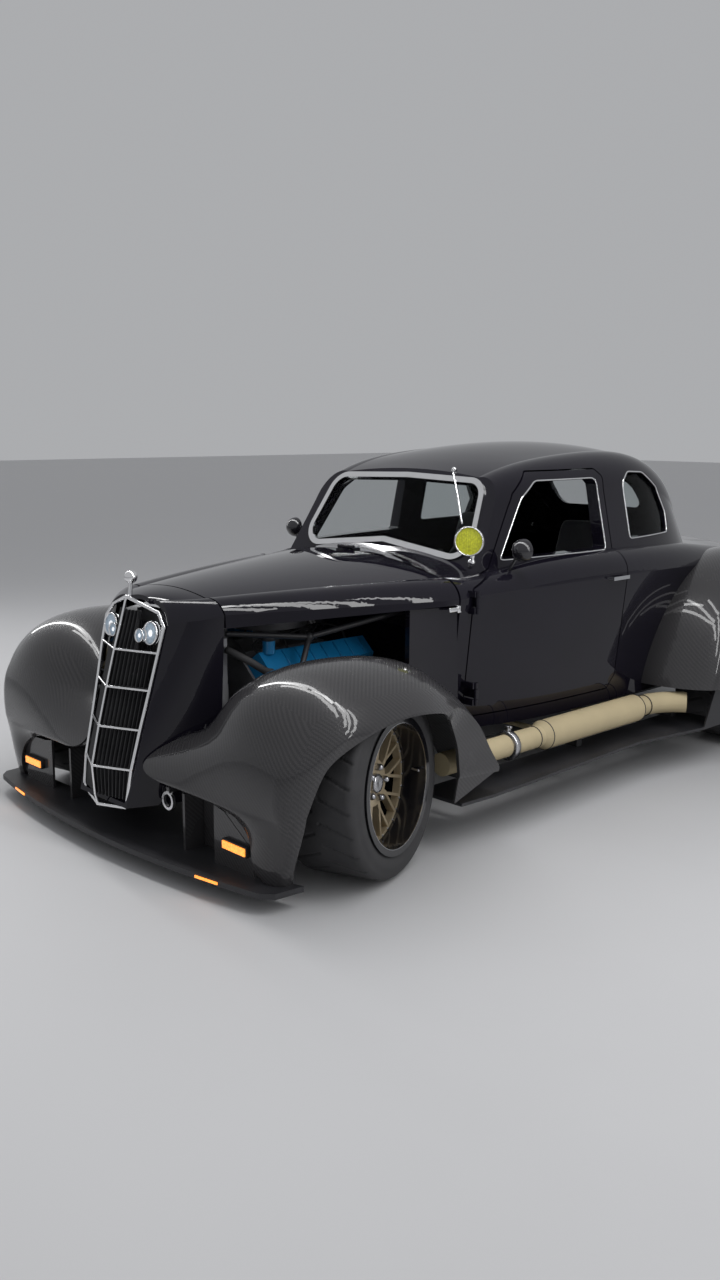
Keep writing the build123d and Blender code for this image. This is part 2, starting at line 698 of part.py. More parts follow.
with BuildPart() as rear_fenders:
    for row in REAR_FENDER:
        add(fender_section(REAR_FENDER_CENTRE, row))
    loft()
    mirror(about=Plane.YZ)
    add(body_outer, mode=Mode.SUBTRACT)
save(rear_fenders, "rear_fenders")

# Splitter blade
SPLITTER_EDGE = [
    # x, y
    (920.0, -1846.0),
    (907.0, -1956.0),
    (868.0, -1992.0),
]
SPLITTER_NOSE_Y = -2080.0

with BuildPart() as splitter:
    with BuildSketch(Plane.XY.offset(SPLITTER_TOP - SPLITTER_THICK)):
        with BuildLine():
            left = [(x, y) for x, y in SPLITTER_EDGE]
            right = [(-x, y) for x, y in reversed(SPLITTER_EDGE)]
            Polyline((500.0, -1600.0), (540.0, -1864.0), (860.0, -1864.0), *left)
            ThreePointArc(left[-1], (0.0, SPLITTER_NOSE_Y), right[0])
            Polyline(*right, (-860.0, -1864.0), (-540.0, -1864.0), (-500.0, -1600.0))
            Line((-500.0, -1600.0), (500.0, -1600.0))
        make_face()
    extrude(amount=SPLITTER_THICK)
save(splitter, "splitter")

# Front valance, duct boxes, struts and tow ring
with BuildPart() as valance:
    for side in (-1, 1):
        with BuildSketch(Plane.XZ.offset(1920.0)):
            with BuildLine():
                Polyline(
                    (side * 550.0, SPLITTER_TOP),
                    (side * 765.0, SPLITTER_TOP),
                    (side * 765.0, 170.0),
                    (side * 610.0, 270.0),
                    (side * 550.0, 280.0),
                    close=True,
                )
            make_face()
        extrude(amount=10.0)
        with Locations((side * 388.0, -1900.0, SPLITTER_TOP + 103.0)):
            Box(12.0, 80.0, 206.0)
        with Locations((side * 390.0, -1850.0, SPLITTER_TOP + 113.0)):
            Box(260.0, 16.0, 226.0)
    with BuildSketch(Plane.XZ.offset(1940.0)):
        with Locations((288.0, 232.0)):
            Circle(34.0)
            Circle(24.0, mode=Mode.SUBTRACT)
    extrude(amount=-12.0)
    with Locations((288.0, -1896.0, 272.0)):
        Box(20.0, 84.0, 20.0)
save(valance, "valance")

with BuildPart() as marker_lamps:
    for side in (-1, 1):
        with Locations((side * 680.0, -1940.1, 165.0)):
            Box(120.0, 20.0, 26.0)
save(marker_lamps, "marker_lamps")

# Side skirts with upright end plates
with BuildPart() as side_skirts:
    for side in (-1, 1):
        with BuildSketch(Plane.XY.offset(168.0)):
            with BuildLine():
                Polyline(
                    (side * 700.0, -1080.0),
                    (side * 925.0, -1080.0),
                    (side * 935.0, -900.0),
                    (side * 900.0, 140.0),
                    (side * 968.0, 560.0),
                    (side * 968.0, 760.0),
                    (side * 700.0, 760.0),
                    close=True,
                )
            make_face()
        extrude(amount=12.0)
        with BuildSketch(Plane.YZ.offset(side * 960.0)):
            with BuildLine():
                Polyline((570.0, 176.0), (760.0, 176.0), (760.0, 340.0), (650.0, 340.0), close=True)
            make_face()
        extrude(amount=side * 8.0)
save(side_skirts, "side_skirts")

# Side exhausts with muffler, clamp and turned out tip
EXHAUST_RUN = [
    # start_y, end_y, radius
    (-1060.0, -470.0, PIPE_RADIUS),
    (-678.0, -652.0, CLAMP_RADIUS),
    (-440.0, MUFFLER_END_Y, MUFFLER_RADIUS),
    (MUFFLER_END_Y, TIP_START_Y, PIPE_RADIUS),
]

with BuildPart() as exhausts:
    for side in (-1, 1):
        for start_y, end_y, radius in EXHAUST_RUN:
            add(bar((side * EXHAUST_X, start_y, EXHAUST_Z), (side * EXHAUST_X, end_y, EXHAUST_Z), radius))
        for start_y, end_y, start_r, end_r in (
            (-470.0, -440.0, PIPE_RADIUS, MUFFLER_RADIUS),
            (MUFFLER_END_Y, MUFFLER_END_Y + 27.0, MUFFLER_RADIUS, PIPE_RADIUS),
        ):
            for y, radius in ((start_y, start_r), (end_y, end_r)):
                with BuildSketch(Plane.XZ.offset(-y)):
                    with Locations((side * EXHAUST_X, EXHAUST_Z)):
                        Circle(radius)
            loft()
        for y in (-300.0, 120.0):
            with Locations((side * 588.0, y, HANGER_Z)):
                Box(356.0, 26.0, 16.0)
        with BuildSketch(Plane.XZ.offset(-TIP_START_Y)):
            with Locations((side * EXHAUST_X, EXHAUST_Z)):
                Circle(TIP_RADIUS)
        with BuildLine() as tip_line:
            JernArc(
                (side * EXHAUST_X, TIP_START_Y, EXHAUST_Z), (0.0, 1.0, 0.0), TIP_BEND_RADIUS, -side * TIP_TURN
            )
        sweep()
        mouth = tip_line.line @ 1
        way = tip_line.line % 1
        with BuildSketch(Plane(origin=mouth, z_dir=-way)):
            Circle(TIP_RADIUS - TIP_WALL)
        extrude(amount=TIP_BORE_DEPTH, mode=Mode.SUBTRACT)
save(exhausts, "exhausts")

# Engine, plain block with its heads, and the blue valve covers
ENGINE_FRONT_Y = -1540.0
ENGINE_REAR_Y = -950.0
ENGINE_MID_Y = (ENGINE_FRONT_Y + ENGINE_REAR_Y) / 2.0
ENGINE_LENGTH = ENGINE_REAR_Y - ENGINE_FRONT_Y

with BuildPart() as engine:
    with BuildSketch(Plane.XZ.offset(-ENGINE_FRONT_Y)):
        with BuildLine():
            Polyline(
                (-130.0, 260.0),
                (130.0, 260.0),
                (175.0, 420.0),
                (310.0, 590.0),
                (225.0, 668.0),
                (90.0, 610.0),
                (-90.0, 610.0),
                (-225.0, 668.0),
                (-310.0, 590.0),
                (-175.0, 420.0),
                close=True,
            )
        make_face()
    extrude(amount=-ENGINE_LENGTH)
    with Locations((0.0, ENGINE_MID_Y, 640.0)):
        Box(230.0, 420.0, 80.0)
    with Locations((0.0, ENGINE_MID_Y, 715.0)):
        Cylinder(55.0, 90.0)
    with Locations((0.0, ENGINE_MID_Y, 790.0)):
        Cylinder(165.0, 70.0)
    with Locations((0.0, -885.0, 400.0)):
        Box(200.0, 150.0, 220.0)
    # feet on the frame rails
    for side in (-1, 1):
        with Locations((side * 260.0, -1250.0, 300.0)):
            Box(280.0, 80.0, 30.0)
save(engine, "engine")

COVER_TILT = degrees(atan2(668.0 - 590.0, 310.0 - 225.0))
COVER_SEAT = 0.3
with BuildPart() as valve_covers:
    for side in (-1, 1):
        with BuildSketch(
            Plane(
                origin=(side * 267.8, ENGINE_MID_Y, 629.4),
                x_dir=(0.0, 1.0, 0.0),
                z_dir=(side * sin(radians(COVER_TILT)), 0.0, cos(radians(COVER_TILT))),
            )
        ):
            RectangleRounded(ENGINE_LENGTH - 20.0, 118.0, 12.0)
        extrude(amount=72.0, taper=12.0)
        with Locations((side * 290.0, -1470.0, 730.0)):
            Cylinder(24.0, 50.0)
save(valve_covers, "valve_covers")

# Radiator with its fan
with BuildPart() as radiator:
    with Locations((0.0, -1665.0, 555.0)):
        Box(500.0, 60.0, 570.0)
    # tabs to the nose shell
    for side in (-1, 1):
        with Locations((side * 272.0, -1704.0, 540.0)):
            Box(66.0, 20.0, 60.0)
    add(nose_shell.part, mode=Mode.SUBTRACT)
    with Locations((0.0, -1600.0, 560.0)):
        Cylinder(28.0, 90.0, rotation=(90.0, 0.0, 0.0))
    with BuildSketch(Plane.XZ.offset(1600.0)):
        with Locations((0.0, 560.0)):
            with PolarLocations(0.0, 6):
                with Locations((110.0, 0.0)):
                    Rectangle(180.0, 60.0)
    extrude(amount=-6.0)
save(radiator, "radiator")

# Tubes bracing the fender aprons to the cowl
BRACES = [
    # start, end
    ((360.0, -1330.0, 760.0), (494.0, -803.5, 850.0)),
    ((360.0, -1330.0, 760.0), (263.0, -1650.0, 798.0)),
    ((360.0, -1330.0, 760.0), (470.0, -1490.0, 593.0)),
]
BRACE_PADS = [
    # middle, size
    ((494.0, -801.3, 850.0), (44.0, 6.0, 44.0)),
    ((258.3, -1662.0, 798.0), (16.0, 34.0, 34.0)),
    ((470.9, -1490.0, 593.0), (6.0, 20.0, 14.0)),
]
BRACE_RADIUS = 11.0
with BuildPart() as engine_braces:
    for side in (-1, 1):
        for start, end in BRACES:
            add(
                bar(
                    (side * start[0], start[1], start[2]),
                    (side * end[0], end[1], end[2]),
                    BRACE_RADIUS,
                )
            )
        with Locations((side * 360.0, -1330.0, 760.0)):
            Sphere(18.0)
        for middle, size in BRACE_PADS:
            with Locations((side * middle[0], middle[1], middle[2])):
                Box(*size)
save(engine_braces, "engine_braces")

# Windscreen glass and its bright surround
GLASS_GAP = 0.3
with BuildSketch(screen_plane) as screen_glass_face:
    add(screen_face.sketch_local)
    offset(amount=-GLASS_GAP, mode=Mode.REPLACE)

with BuildSketch(screen_plane) as screen_ring_face:
    add(screen_face.sketch_local)
    offset(amount=26.0, mode=Mode.REPLACE)
    add(screen_face.sketch_local, mode=Mode.SUBTRACT)

with BuildPart() as windscreen:
    extrude(screen_glass_face.sketch, amount=-6.0)
save(windscreen, "windscreen")

with BuildPart() as windscreen_trim:
    extrude(screen_ring_face.sketch, amount=9.0)
    add(body_outer, mode=Mode.SUBTRACT)
save(windscreen_trim, "windscreen_trim")

GLASS = 5.0
with BuildSketch(Plane.YZ) as quarter_glass_face:
    add(quarter_window_face.sketch_local)
    offset(amount=-GLASS_GAP, mode=Mode.REPLACE)

glass_mid = body_master(12.0, 24.0, len(TUB) - 1, 12.0)
glass_back = body_master(12.0 + GLASS, 24.0 + 2.0 * GLASS, len(TUB) - 1, 12.0 + GLASS)

with BuildPart() as cab_glass:
    add(glass_mid)
    add(glass_back, mode=Mode.SUBTRACT)
    extrude(quarter_glass_face.sketch, amount=900.0, both=True, mode=Mode.INTERSECT)

with BuildPart() as rear_glass:
    add(glass_mid)
    add(glass_back, mode=Mode.SUBTRACT)
    with BuildSketch(Plane.XZ.offset(-860.0)):
        with Locations((0.0, 1205.0)):
            RectangleRounded(519.4, 149.4, 49.7)
    extrude(amount=-400.0, mode=Mode.INTERSECT)

with BuildPart() as cab_windows:
    add(cab_glass.part)
    add(rear_glass.part)
save(cab_windows, "cab_windows")

# Chassis frame
RAIL_X = 380.0
RAIL_Z = 240.0
RAIL_FRONT_Y = -1842.0
RAIL_REAR_Y = 1950.0
with BuildPart() as chassis_frame:
    for side in (-1, 1):
        with Locations((side * RAIL_X, (RAIL_FRONT_Y + RAIL_REAR_Y) / 2.0, RAIL_Z)):
            Box(60.0, RAIL_REAR_Y - RAIL_FRONT_Y, 90.0)
        # outriggers under the side skirts
        for y in (-840.0, -120.0, 640.0):
            with Locations((side * 565.0, y, 195.0)):
                Box(390.0, 36.0, 30.0)
    for y in (-1660.0, -880.0, 300.0, 850.0, 1480.0, 1920.0):
        with Locations((0.0, y, RAIL_Z)):
            Box(700.0, 60.0, 60.0)
    for side in (-1, 1):
        for y in (-740.0, 300.0, 850.0, 1480.0, 1920.0):
            with Locations((side * RAIL_X, y, 305.0)):
                Cylinder(28.0, 50.0)
    add(body_outer, mode=Mode.SUBTRACT)
save(chassis_frame, "chassis_frame")


# Wheelhouse walls and the raised floor above the rear axle
with BuildPart() as wheelhouses:
    for side in (-1, 1):
        with BuildSketch(Plane.YZ.offset(side * (WHEELHOUSE_INNER_X - 12.0))):
            with Locations((REAR_AXLE_Y, REAR_TYRE_RADIUS)):
                Circle(REAR_WHEELHOUSE_RADIUS - 0.3)
        extrude(amount=side * 160.0)
        with BuildSketch(Plane.YZ.offset(side * (WHEELHOUSE_INNER_X - 4.0))):
            with Locations((REAR_AXLE_Y, REAR_TYRE_RADIUS)):
                Circle(REAR_WHEELHOUSE_RADIUS - 9.0)
        extrude(amount=side * 200.0, mode=Mode.SUBTRACT)
    add(body_inner, mode=Mode.INTERSECT)
    with Locations((0.0, REAR_AXLE_Y, 440.0)):
        Box(1150.0, 418.0, 138.0)
    with Locations((0.0, REAR_AXLE_Y, 430.0)):
        Box(1300.0, 402.0, 142.0, mode=Mode.SUBTRACT)
save(wheelhouses, "wheelhouses")

# Seats
SEAT_X = 330.0
with BuildPart() as seats:
    for side in (-1, 1):
        with Locations((side * SEAT_X, 20.0, 429.7)):
            Box(470.0, 520.0, 140.6)
        with BuildSketch(Plane.YZ.offset(side * SEAT_X - 235.0)):
            with BuildLine():
                Polyline((220.0, 400.0), (300.0, 400.0), (470.0, 900.0), (360.0, 900.0), close=True)
            make_face()
        extrude(amount=470.0)
        with BuildSketch(Plane.YZ.offset(side * SEAT_X - 135.0)):
            with BuildLine():
                Polyline((360.0, 880.0), (462.0, 880.0), (530.0, 1110.0), (450.0, 1110.0), close=True)
            make_face()
        extrude(amount=270.0)
save(seats, "seats")

# Dashboard
with BuildPart() as dashboard:
    with BuildSketch(Plane.YZ.offset(-520.0)):
        with BuildLine():
            Polyline(
                (FIREWALL_Y, 790.0),
                (-560.0, 790.0),
                (-540.0, 820.0),
                (-560.0, 898.0),
                (FIREWALL_Y, 898.0),
                close=True,
            )
        make_face()
    extrude(amount=1040.0)
save(dashboard, "dashboard")

# Steering column and wheel
COLUMN_START = (SEAT_X, -559.0, 812.0)
WHEEL_HUB = (SEAT_X, -310.0, 880.0)
COLUMN_WAY = Vector(*WHEEL_HUB) - Vector(*COLUMN_START)
COLUMN_GAP = 0.5
STEERING_RADIUS = 175.0
steering_plane = Plane(origin=WHEEL_HUB, x_dir=(1.0, 0.0, 0.0), z_dir=COLUMN_WAY)

with BuildPart() as steering_column:
    with BuildSketch(Plane(origin=COLUMN_START, z_dir=COLUMN_WAY)):
        Circle(26.0)
    extrude(amount=COLUMN_WAY.length - 20.0 - COLUMN_GAP)
    add(dashboard.part, mode=Mode.SUBTRACT)
save(steering_column, "steering_column")

with BuildPart() as steering_wheel:
    with BuildSketch(steering_plane.offset(-20.0)):
        Circle(30.0)
    extrude(amount=40.0)
    with BuildSketch(steering_plane.offset(-4.0)):
        for angle in (0.0, 180.0, 270.0):
            with Locations(Location((0.0, 0.0), angle)):
                with Locations((STEERING_RADIUS / 2.0, 0.0)):
                    Rectangle(STEERING_RADIUS, 26.0)
    extrude(amount=8.0)
    with Locations(steering_plane.location):
        Torus(STEERING_RADIUS, 14.0)
save(steering_wheel, "steering_wheel")

# Tail lamps on the rear panel
with BuildPart() as tail_lamps:
    for side in (-1, 1):
        with Locations((side * 300.0, 2070.2, 560.0)):
            Cylinder(48.0, 19.6, rotation=(90.0, 0.0, 0.0))
save(tail_lamps, "tail_lamps")

# Spot lamp at the left pillar
SPOT_POINT = (596.0, -690.0, 1098.0)
with BuildPart() as spot_lamp:
    with BuildSketch(Plane(origin=SPOT_POINT, z_dir=(0.45, -0.89, 0.0))):
        Circle(58.0)
    extrude(amount=-26.0)
    with BuildSketch(Plane(origin=SPOT_POINT, z_dir=(0.45, -0.89, 0.0)).offset(-26.0)):
        Circle(50.0)
    extrude(amount=-40.0, taper=38.0)
    add(bar((590.0, -650.0, 1080.0), (554.0, -640.0, 950.0), 9.0))
    add(body_outer, mode=Mode.SUBTRACT)
save(spot_lamp, "spot_lamp")

# Wheels and tyres, drawn about the X axis with the outer face towards +X
FRONT_WHEEL = (FRONT_TYRE_RADIUS, FRONT_TYRE_WIDTH)
REAR_WHEEL = (REAR_TYRE_RADIUS, REAR_TYRE_WIDTH)
BARREL_WALL = 9.0
LIP_RADIUS = 241.0
DISC_BACK = 25.0
DISC_THICK = 28.0
HUB_RADIUS = 82.0
LUG_CIRCLE = 114.3
LUG_HOLE_RADIUS = 7.0
LUG_COUNT = 5
HUB_FLANGE_RADIUS = 46.0


def tyre_shape(radius, width):
    """Tyre ring with rounded shoulders."""
    half = width / 2.0
    with BuildPart() as tyre:
        with BuildSketch(Plane.XY):
            with BuildLine():
                Polyline(
                    (-half + 16.0, TYRE_BEAD_RADIUS),
                    (half - 16.0, TYRE_BEAD_RADIUS),
                    (half - 10.0, TYRE_BEAD_RADIUS + 16.0),
                )
                ThreePointArc(
                    (half - 10.0, TYRE_BEAD_RADIUS + 16.0),
                    (half, TYRE_BEAD_RADIUS + 45.0),
                    (half - 6.0, radius - TYRE_SHOULDER),
                )
                TangentArc(
                    (half - 6.0, radius - TYRE_SHOULDER),
                    (half - 34.0, radius),
                    tangent=(0.0, 1.0),
                )
                Line((half - 34.0, radius), (-half + 34.0, radius))
                TangentArc(
                    (-half + 34.0, radius),
                    (-half + 6.0, radius - TYRE_SHOULDER),
                    tangent=(-1.0, 0.0),
                )
                ThreePointArc(
                    (-half + 6.0, radius - TYRE_SHOULDER),
                    (-half, TYRE_BEAD_RADIUS + 45.0),
                    (-half + 10.0, TYRE_BEAD_RADIUS + 16.0),
                )
                Line((-half + 10.0, TYRE_BEAD_RADIUS + 16.0), (-half + 16.0, TYRE_BEAD_RADIUS))
            make_face()
        revolve(axis=Axis.X)
    return tyre.part


def rim_shape(width):
    """Deep rim with a spoked centre and a drilled hub."""
    half = width / 2.0
    outer = TYRE_BEAD_RADIUS - 0.3
    inner = outer - BARREL_WALL
    with BuildPart() as rim:
        with BuildSketch(Plane.XY):
            with BuildLine():
                Polyline(
                    (-half, inner),
                    (half, inner),
                    (half, LIP_RADIUS),
                    (half - 5.0, LIP_RADIUS),
                    (half - 15.0, outer),
                    (-half + 15.0, outer),
                    (-half + 5.0, LIP_RADIUS),
                    (-half, LIP_RADIUS),
                    close=True,
                )
            make_face()
        revolve(axis=Axis.X)
        with BuildSketch(Plane.YZ.offset(DISC_BACK)):
            Circle(inner + 2.0)
            Circle(inner - 14.0, mode=Mode.SUBTRACT)
            Circle(HUB_RADIUS)
            with PolarLocations(0.0, SPOKES):
                with Locations((SPOKE_FORK / 2.0, 0.0)):
                    Rectangle(SPOKE_FORK, STEM_WIDTH)
            fork_end = Vector(inner, 0.0).rotate(Axis.Z, 180.0 / SPOKES / 2.0)
            branch = fork_end - Vector(SPOKE_FORK - 5.0, 0.0)
            lean = degrees(atan2(branch.Y, branch.X))
            middle = (fork_end + Vector(SPOKE_FORK - 5.0, 0.0)) / 2.0
            for way in (-1, 1):
                with PolarLocations(0.0, SPOKES):
                    with Locations(Location((middle.X, way * middle.Y, 0.0), (0.0, 0.0, way * lean))):
                        Rectangle(branch.length, BRANCH_WIDTH)
            with PolarLocations(LUG_CIRCLE / 2.0, LUG_COUNT):
                Circle(LUG_HOLE_RADIUS, mode=Mode.SUBTRACT)
        extrude(amount=DISC_THICK)
    return rim.part


front_rim = rim_shape(FRONT_TYRE_WIDTH)
front_tyre = tyre_shape(*FRONT_WHEEL)
rear_rim = rim_shape(REAR_TYRE_WIDTH)
rear_tyre = tyre_shape(*REAR_WHEEL)
front_hub_z = FRONT_TYRE_RADIUS * cos(radians(CAMBER)) + (FRONT_TYRE_WIDTH / 2.0 - 34.0) * sin(radians(CAMBER))


def front_place(side):
    """Steered and cambered place of a front wheel, side is 1 for the left."""
    turn = radians(STEER_REST)
    kingpin = Vector(side * KINGPIN_X, FRONT_AXLE_Y, front_hub_z)
    centre = kingpin + Vector(side * cos(turn), side * sin(turn), 0.0) * HUB_OFFSET
    heading = STEER_REST if side > 0 else STEER_REST + 180.0
    return Location(centre, (0.0, 0.0, heading)) * Location((0.0, 0.0, 0.0), (0.0, -CAMBER, 0.0))


def rear_place(side):
    """Place of a rear wheel, side is 1 for the left."""
    heading = 0.0 if side > 0 else 180.0
    return Location((side * REAR_WHEEL_X, REAR_AXLE_Y, REAR_TYRE_RADIUS), (0.0, 0.0, heading))


WHEELS = [
    # name, rim, tyre, place
    ("front_left", front_rim, front_tyre, front_place(1)),
    ("front_right", front_rim, front_tyre, front_place(-1)),
    ("rear_left", rear_rim, rear_tyre, rear_place(1)),
    ("rear_right", rear_rim, rear_tyre, rear_place(-1)),
]

for corner, rim, tyre, place in WHEELS:
    with BuildPart() as wheel:
        with Locations(place):
            add(rim)
    save(wheel, f"wheel_{corner}")
    with BuildPart() as ring:
        with Locations(place):
            add(tyre)
    save(ring, f"tyre_{corner}")

# Front uprights with hubs and brake discs
DISC_RADIUS = 165.0
KNUCKLE_GAP = 0.5
UPRIGHT_HEIGHT = 252.0
BALL_RADIUS = 18.0
BALL_RISE = UPRIGHT_HEIGHT / 2.0 + BALL_RADIUS + 1.0
ARM_SPREAD = 110.0
ARM_RADIUS = 12.0
with BuildPart() as upright:
    with BuildSketch(Plane.YZ.offset(-60.0)):
        Circle(HUB_FLANGE_RADIUS)
    extrude(amount=DISC_BACK + 60.0 - KNUCKLE_GAP)
    with BuildSketch(Plane.YZ.offset(-30.0)):
        Circle(DISC_RADIUS)
    extrude(amount=24.0)
    with Locations((-82.0, 0.0, 0.0)):
        Box(46.0, 60.0, UPRIGHT_HEIGHT)
    with Locations((-30.0, 130.0, 0.0)):
        Box(60.0, 60.0, 130.0)

for side, name in ((1, "knuckle_left"), (-1, "knuckle_right")):
    with BuildPart() as knuckle:
        with Locations(front_place(side)):
            add(upright.part)
    save(knuckle, name)

# Front arms and springs
knuckle_mid_z = front_hub_z - HUB_OFFSET * sin(radians(CAMBER))
with BuildPart() as front_suspension:
    for side in (-1, 1):
        for z in (knuckle_mid_z - BALL_RISE, knuckle_mid_z + BALL_RISE):
            for reach in (-ARM_SPREAD, ARM_SPREAD):
                add(
                    bar(
                        (side * 440.0, FRONT_AXLE_Y + reach, z),
                        (side * (KINGPIN_X - 8.0), FRONT_AXLE_Y, z),
                        ARM_RADIUS,
                    )
                )
            with Locations((side * KINGPIN_X, FRONT_AXLE_Y, z)):
                Sphere(BALL_RADIUS)
        with Locations((side * 436.0, FRONT_AXLE_Y, 330.0)):
            Box(51.0, 300.0, 340.0)
save(front_suspension, "front_suspension")

# Rear axle with brakes
AXLE_TUBE_RADIUS = 38.0
DIFF_RADIUS = 135.0
DIFF_HALF = 110.0
hub_face_x = REAR_WHEEL_X + DISC_BACK - KNUCKLE_GAP
AXLE_PROFILE = [
    # x, radius
    (0.0, DIFF_RADIUS),
    (45.0, DIFF_RADIUS),
    (DIFF_HALF, 60.0),
    (DIFF_HALF + 60.0, AXLE_TUBE_RADIUS),
    (REAR_WHEEL_X - 95.0, AXLE_TUBE_RADIUS),
    (REAR_WHEEL_X - 95.0, 55.0),
    (REAR_WHEEL_X - 42.0, 55.0),
    (REAR_WHEEL_X - 42.0, DISC_RADIUS),
    (REAR_WHEEL_X - 18.0, DISC_RADIUS),
    (REAR_WHEEL_X - 18.0, HUB_FLANGE_RADIUS),
    (hub_face_x, HUB_FLANGE_RADIUS),
]

with BuildPart() as rear_axle:
    with BuildSketch(Plane.XY.offset(REAR_TYRE_RADIUS)):
        with BuildLine():
            right_half = [(-x, REAR_AXLE_Y + radius) for x, radius in reversed(AXLE_PROFILE)]
            left_half = [(x, REAR_AXLE_Y + radius) for x, radius in AXLE_PROFILE[1:]]
            Polyline((-hub_face_x, REAR_AXLE_Y), *right_half, *left_half, (hub_face_x, REAR_AXLE_Y), close=True)
        make_face()
    revolve(axis=Axis((0.0, REAR_AXLE_Y, REAR_TYRE_RADIUS), (1.0, 0.0, 0.0)))
    for side in (-1, 1):
        with Locations((side * RAIL_X, REAR_AXLE_Y, 305.0)):
            Box(60.0, 80.0, 39.0)
save(rear_axle, "rear_axle")

# Mirrors, handles and hinges of the doors
for side, name in ((1, "door_trim_left"), (-1, "door_trim_right")):
    with BuildPart() as trim:
        with Locations((side * 705.0, -480.0, 1056.0)):
            Sphere(48.0)
        with Locations((side * 705.0, -430.0, 1056.0)):
            Box(110.0, 100.0, 110.0, mode=Mode.SUBTRACT)
        add(bar((side * 690.0, -495.0, 1040.0), (side * 632.0, -500.0, 945.0), 8.0))
        with Locations((side * 782.0, 110.0, 900.0)):
            Box(12.0, 120.0, 16.0)
        for y in (62.0, 158.0):
            with Locations((side * 770.0, y, 900.0)):
                Box(24.0, 14.0, 14.0)
        add(body_outer, mode=Mode.SUBTRACT)
    save(trim, name)
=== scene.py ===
from math import atan2, cos, pi, radians, sin, sqrt

import bmesh
import bpy
from bpy.props import FloatProperty, FloatVectorProperty, IntProperty, PointerProperty
from mathutils import Matrix, Vector


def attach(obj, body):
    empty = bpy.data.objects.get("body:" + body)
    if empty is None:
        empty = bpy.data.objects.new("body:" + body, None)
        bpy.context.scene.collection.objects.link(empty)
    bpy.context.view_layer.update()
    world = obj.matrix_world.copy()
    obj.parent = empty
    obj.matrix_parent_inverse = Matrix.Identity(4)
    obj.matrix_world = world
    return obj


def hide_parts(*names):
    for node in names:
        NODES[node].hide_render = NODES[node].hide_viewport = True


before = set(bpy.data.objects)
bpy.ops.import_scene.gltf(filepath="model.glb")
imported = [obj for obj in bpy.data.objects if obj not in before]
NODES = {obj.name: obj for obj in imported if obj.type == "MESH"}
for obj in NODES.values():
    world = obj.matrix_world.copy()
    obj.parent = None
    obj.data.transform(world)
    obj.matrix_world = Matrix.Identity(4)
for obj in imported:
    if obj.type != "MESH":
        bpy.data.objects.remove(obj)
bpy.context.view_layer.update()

bl_info = {
    "name": "Hot rod coupe dressing",
    "version": (1, 0, 0),
    "blender": (4, 5, 0),
    "location": "3D View > Sidebar > Coupe",
    "description": "Paint, tread, trim, cabin and studio for the packed hot rod coupe",
    "category": "Object",
}

SIDES = ((1, "left"), (-1, "right"))

# Wheels and tyres in metres, as in the solids
FRONT_TYRE = (0.325, 0.300)     # radius and width
REAR_TYRE = (0.345, 0.345)
BEAD_RADIUS = 0.226
TYRE_WALL = [
    # inset from the widest place, height over the bead
    (0.0160, 0.0000),
    (0.0125, 0.0090),
    (0.0085, 0.0165),
    (0.0075, 0.0175),
    (0.0040, 0.0270),
    (0.0012, 0.0380),
    (0.0004, 0.0500),
]
WALL_BULGE = 0.0022
WALL_TUCK = 0.0065
SHOULDER_WIDE = 0.0275
SHOULDER_HIGH = 0.030
SHOULDER_STEPS = 6
TREAD_INSET = 0.034
TREAD_STEPS = 56
TREAD_SKIN = 0.012
SLOT_START = 0.06
SLOT_END = 0.86
SLOT_LEAN = 0.42
STEER_REST = radians(18.0)
CAMBER = radians(2.5)
KINGPIN = (0.726, -1.520)
HUB_OFFSET = 0.095
REAR_WHEEL = (0.815, 1.150)
DISC_FACE = 0.053
NUT_SEAT = DISC_FACE - 0.004
BOLT_SEAT = DISC_FACE - 0.002
LUG_CIRCLE = 0.1143
LUG_COUNT = 5
BOLT_RING = 0.208
BOLT_COUNT = 30
VALVE_STEM = [(0.095, 0.212, 0.0), (0.118, 0.205, 0.0), (0.128, 0.196, 0.0)]
VALVE_RADIUS = 0.0042
LIP_DEPTH = 0.0035
LIP_RADII = (0.2125, 0.2180)
CENTRE_DEPTHS = (0.020, 0.060)
CENTRE_RADIUS = 0.2145

# Turned outlines: distance along the axis, radius
LUG_NUT = [(0.0, 0.011), (0.005, 0.0125), (0.020, 0.0125), (0.028, 0.009), (0.030, 0.004)]
HUB_CAP = [(0.0, 0.030), (0.004, 0.034), (0.016, 0.034), (0.022, 0.030), (0.024, 0.020), (0.021, 0.006)]
RIM_BOLT = [(0.0, 0.0042), (0.005, 0.0042), (0.0062, 0.003)]
OIL_CAP = [(0.0, 0.020), (0.004, 0.029), (0.018, 0.030), (0.026, 0.026), (0.028, 0.010)]
BAND_CLAMP = [(0.0, 0.0545), (0.004, 0.060), (0.028, 0.060), (0.032, 0.0545)]
MIRROR_GLASS = [(-0.001, 0.0440), (0.0012, 0.0440), (0.0018, 0.0425), (0.0012, 0.0400), (0.0012, 0.002)]

# Headlamps: distance along the axis, share of the lamp's radius
LAMP_WAY = (0.0, -1.0, 0.145)
LAMP_RING = [(-0.010, 1.0), (0.000, 1.0), (0.003, 0.97), (0.003, 0.90), (-0.006, 0.86), (-0.010, 0.88)]
LAMP_BOWL = [(-0.054, 0.30), (-0.048, 0.62), (-0.034, 0.84), (-0.010, 1.0)]
LAMP_FACE = [(-0.009, 0.86), (-0.005, 0.84), (-0.003, 0.60), (-0.002, 0.30)]
LAMP_FACE_TIP = (-0.0018, 0.001)
LAMP_BULB = [(-0.15, 0.02), (-0.10, 0.24), (0.00, 0.30), (0.06, 0.20), (0.08, 0.01)]
LAMPS = [
    # name, x, y, z, radius
    ("headlamp", 0.132, -1.890, 0.812, 0.044),
    ("small_lamp", 0.088, -1.908, 0.800, 0.026),
]
FLUTE_PITCH = 0.18
FLUTE_REACH = 0.80

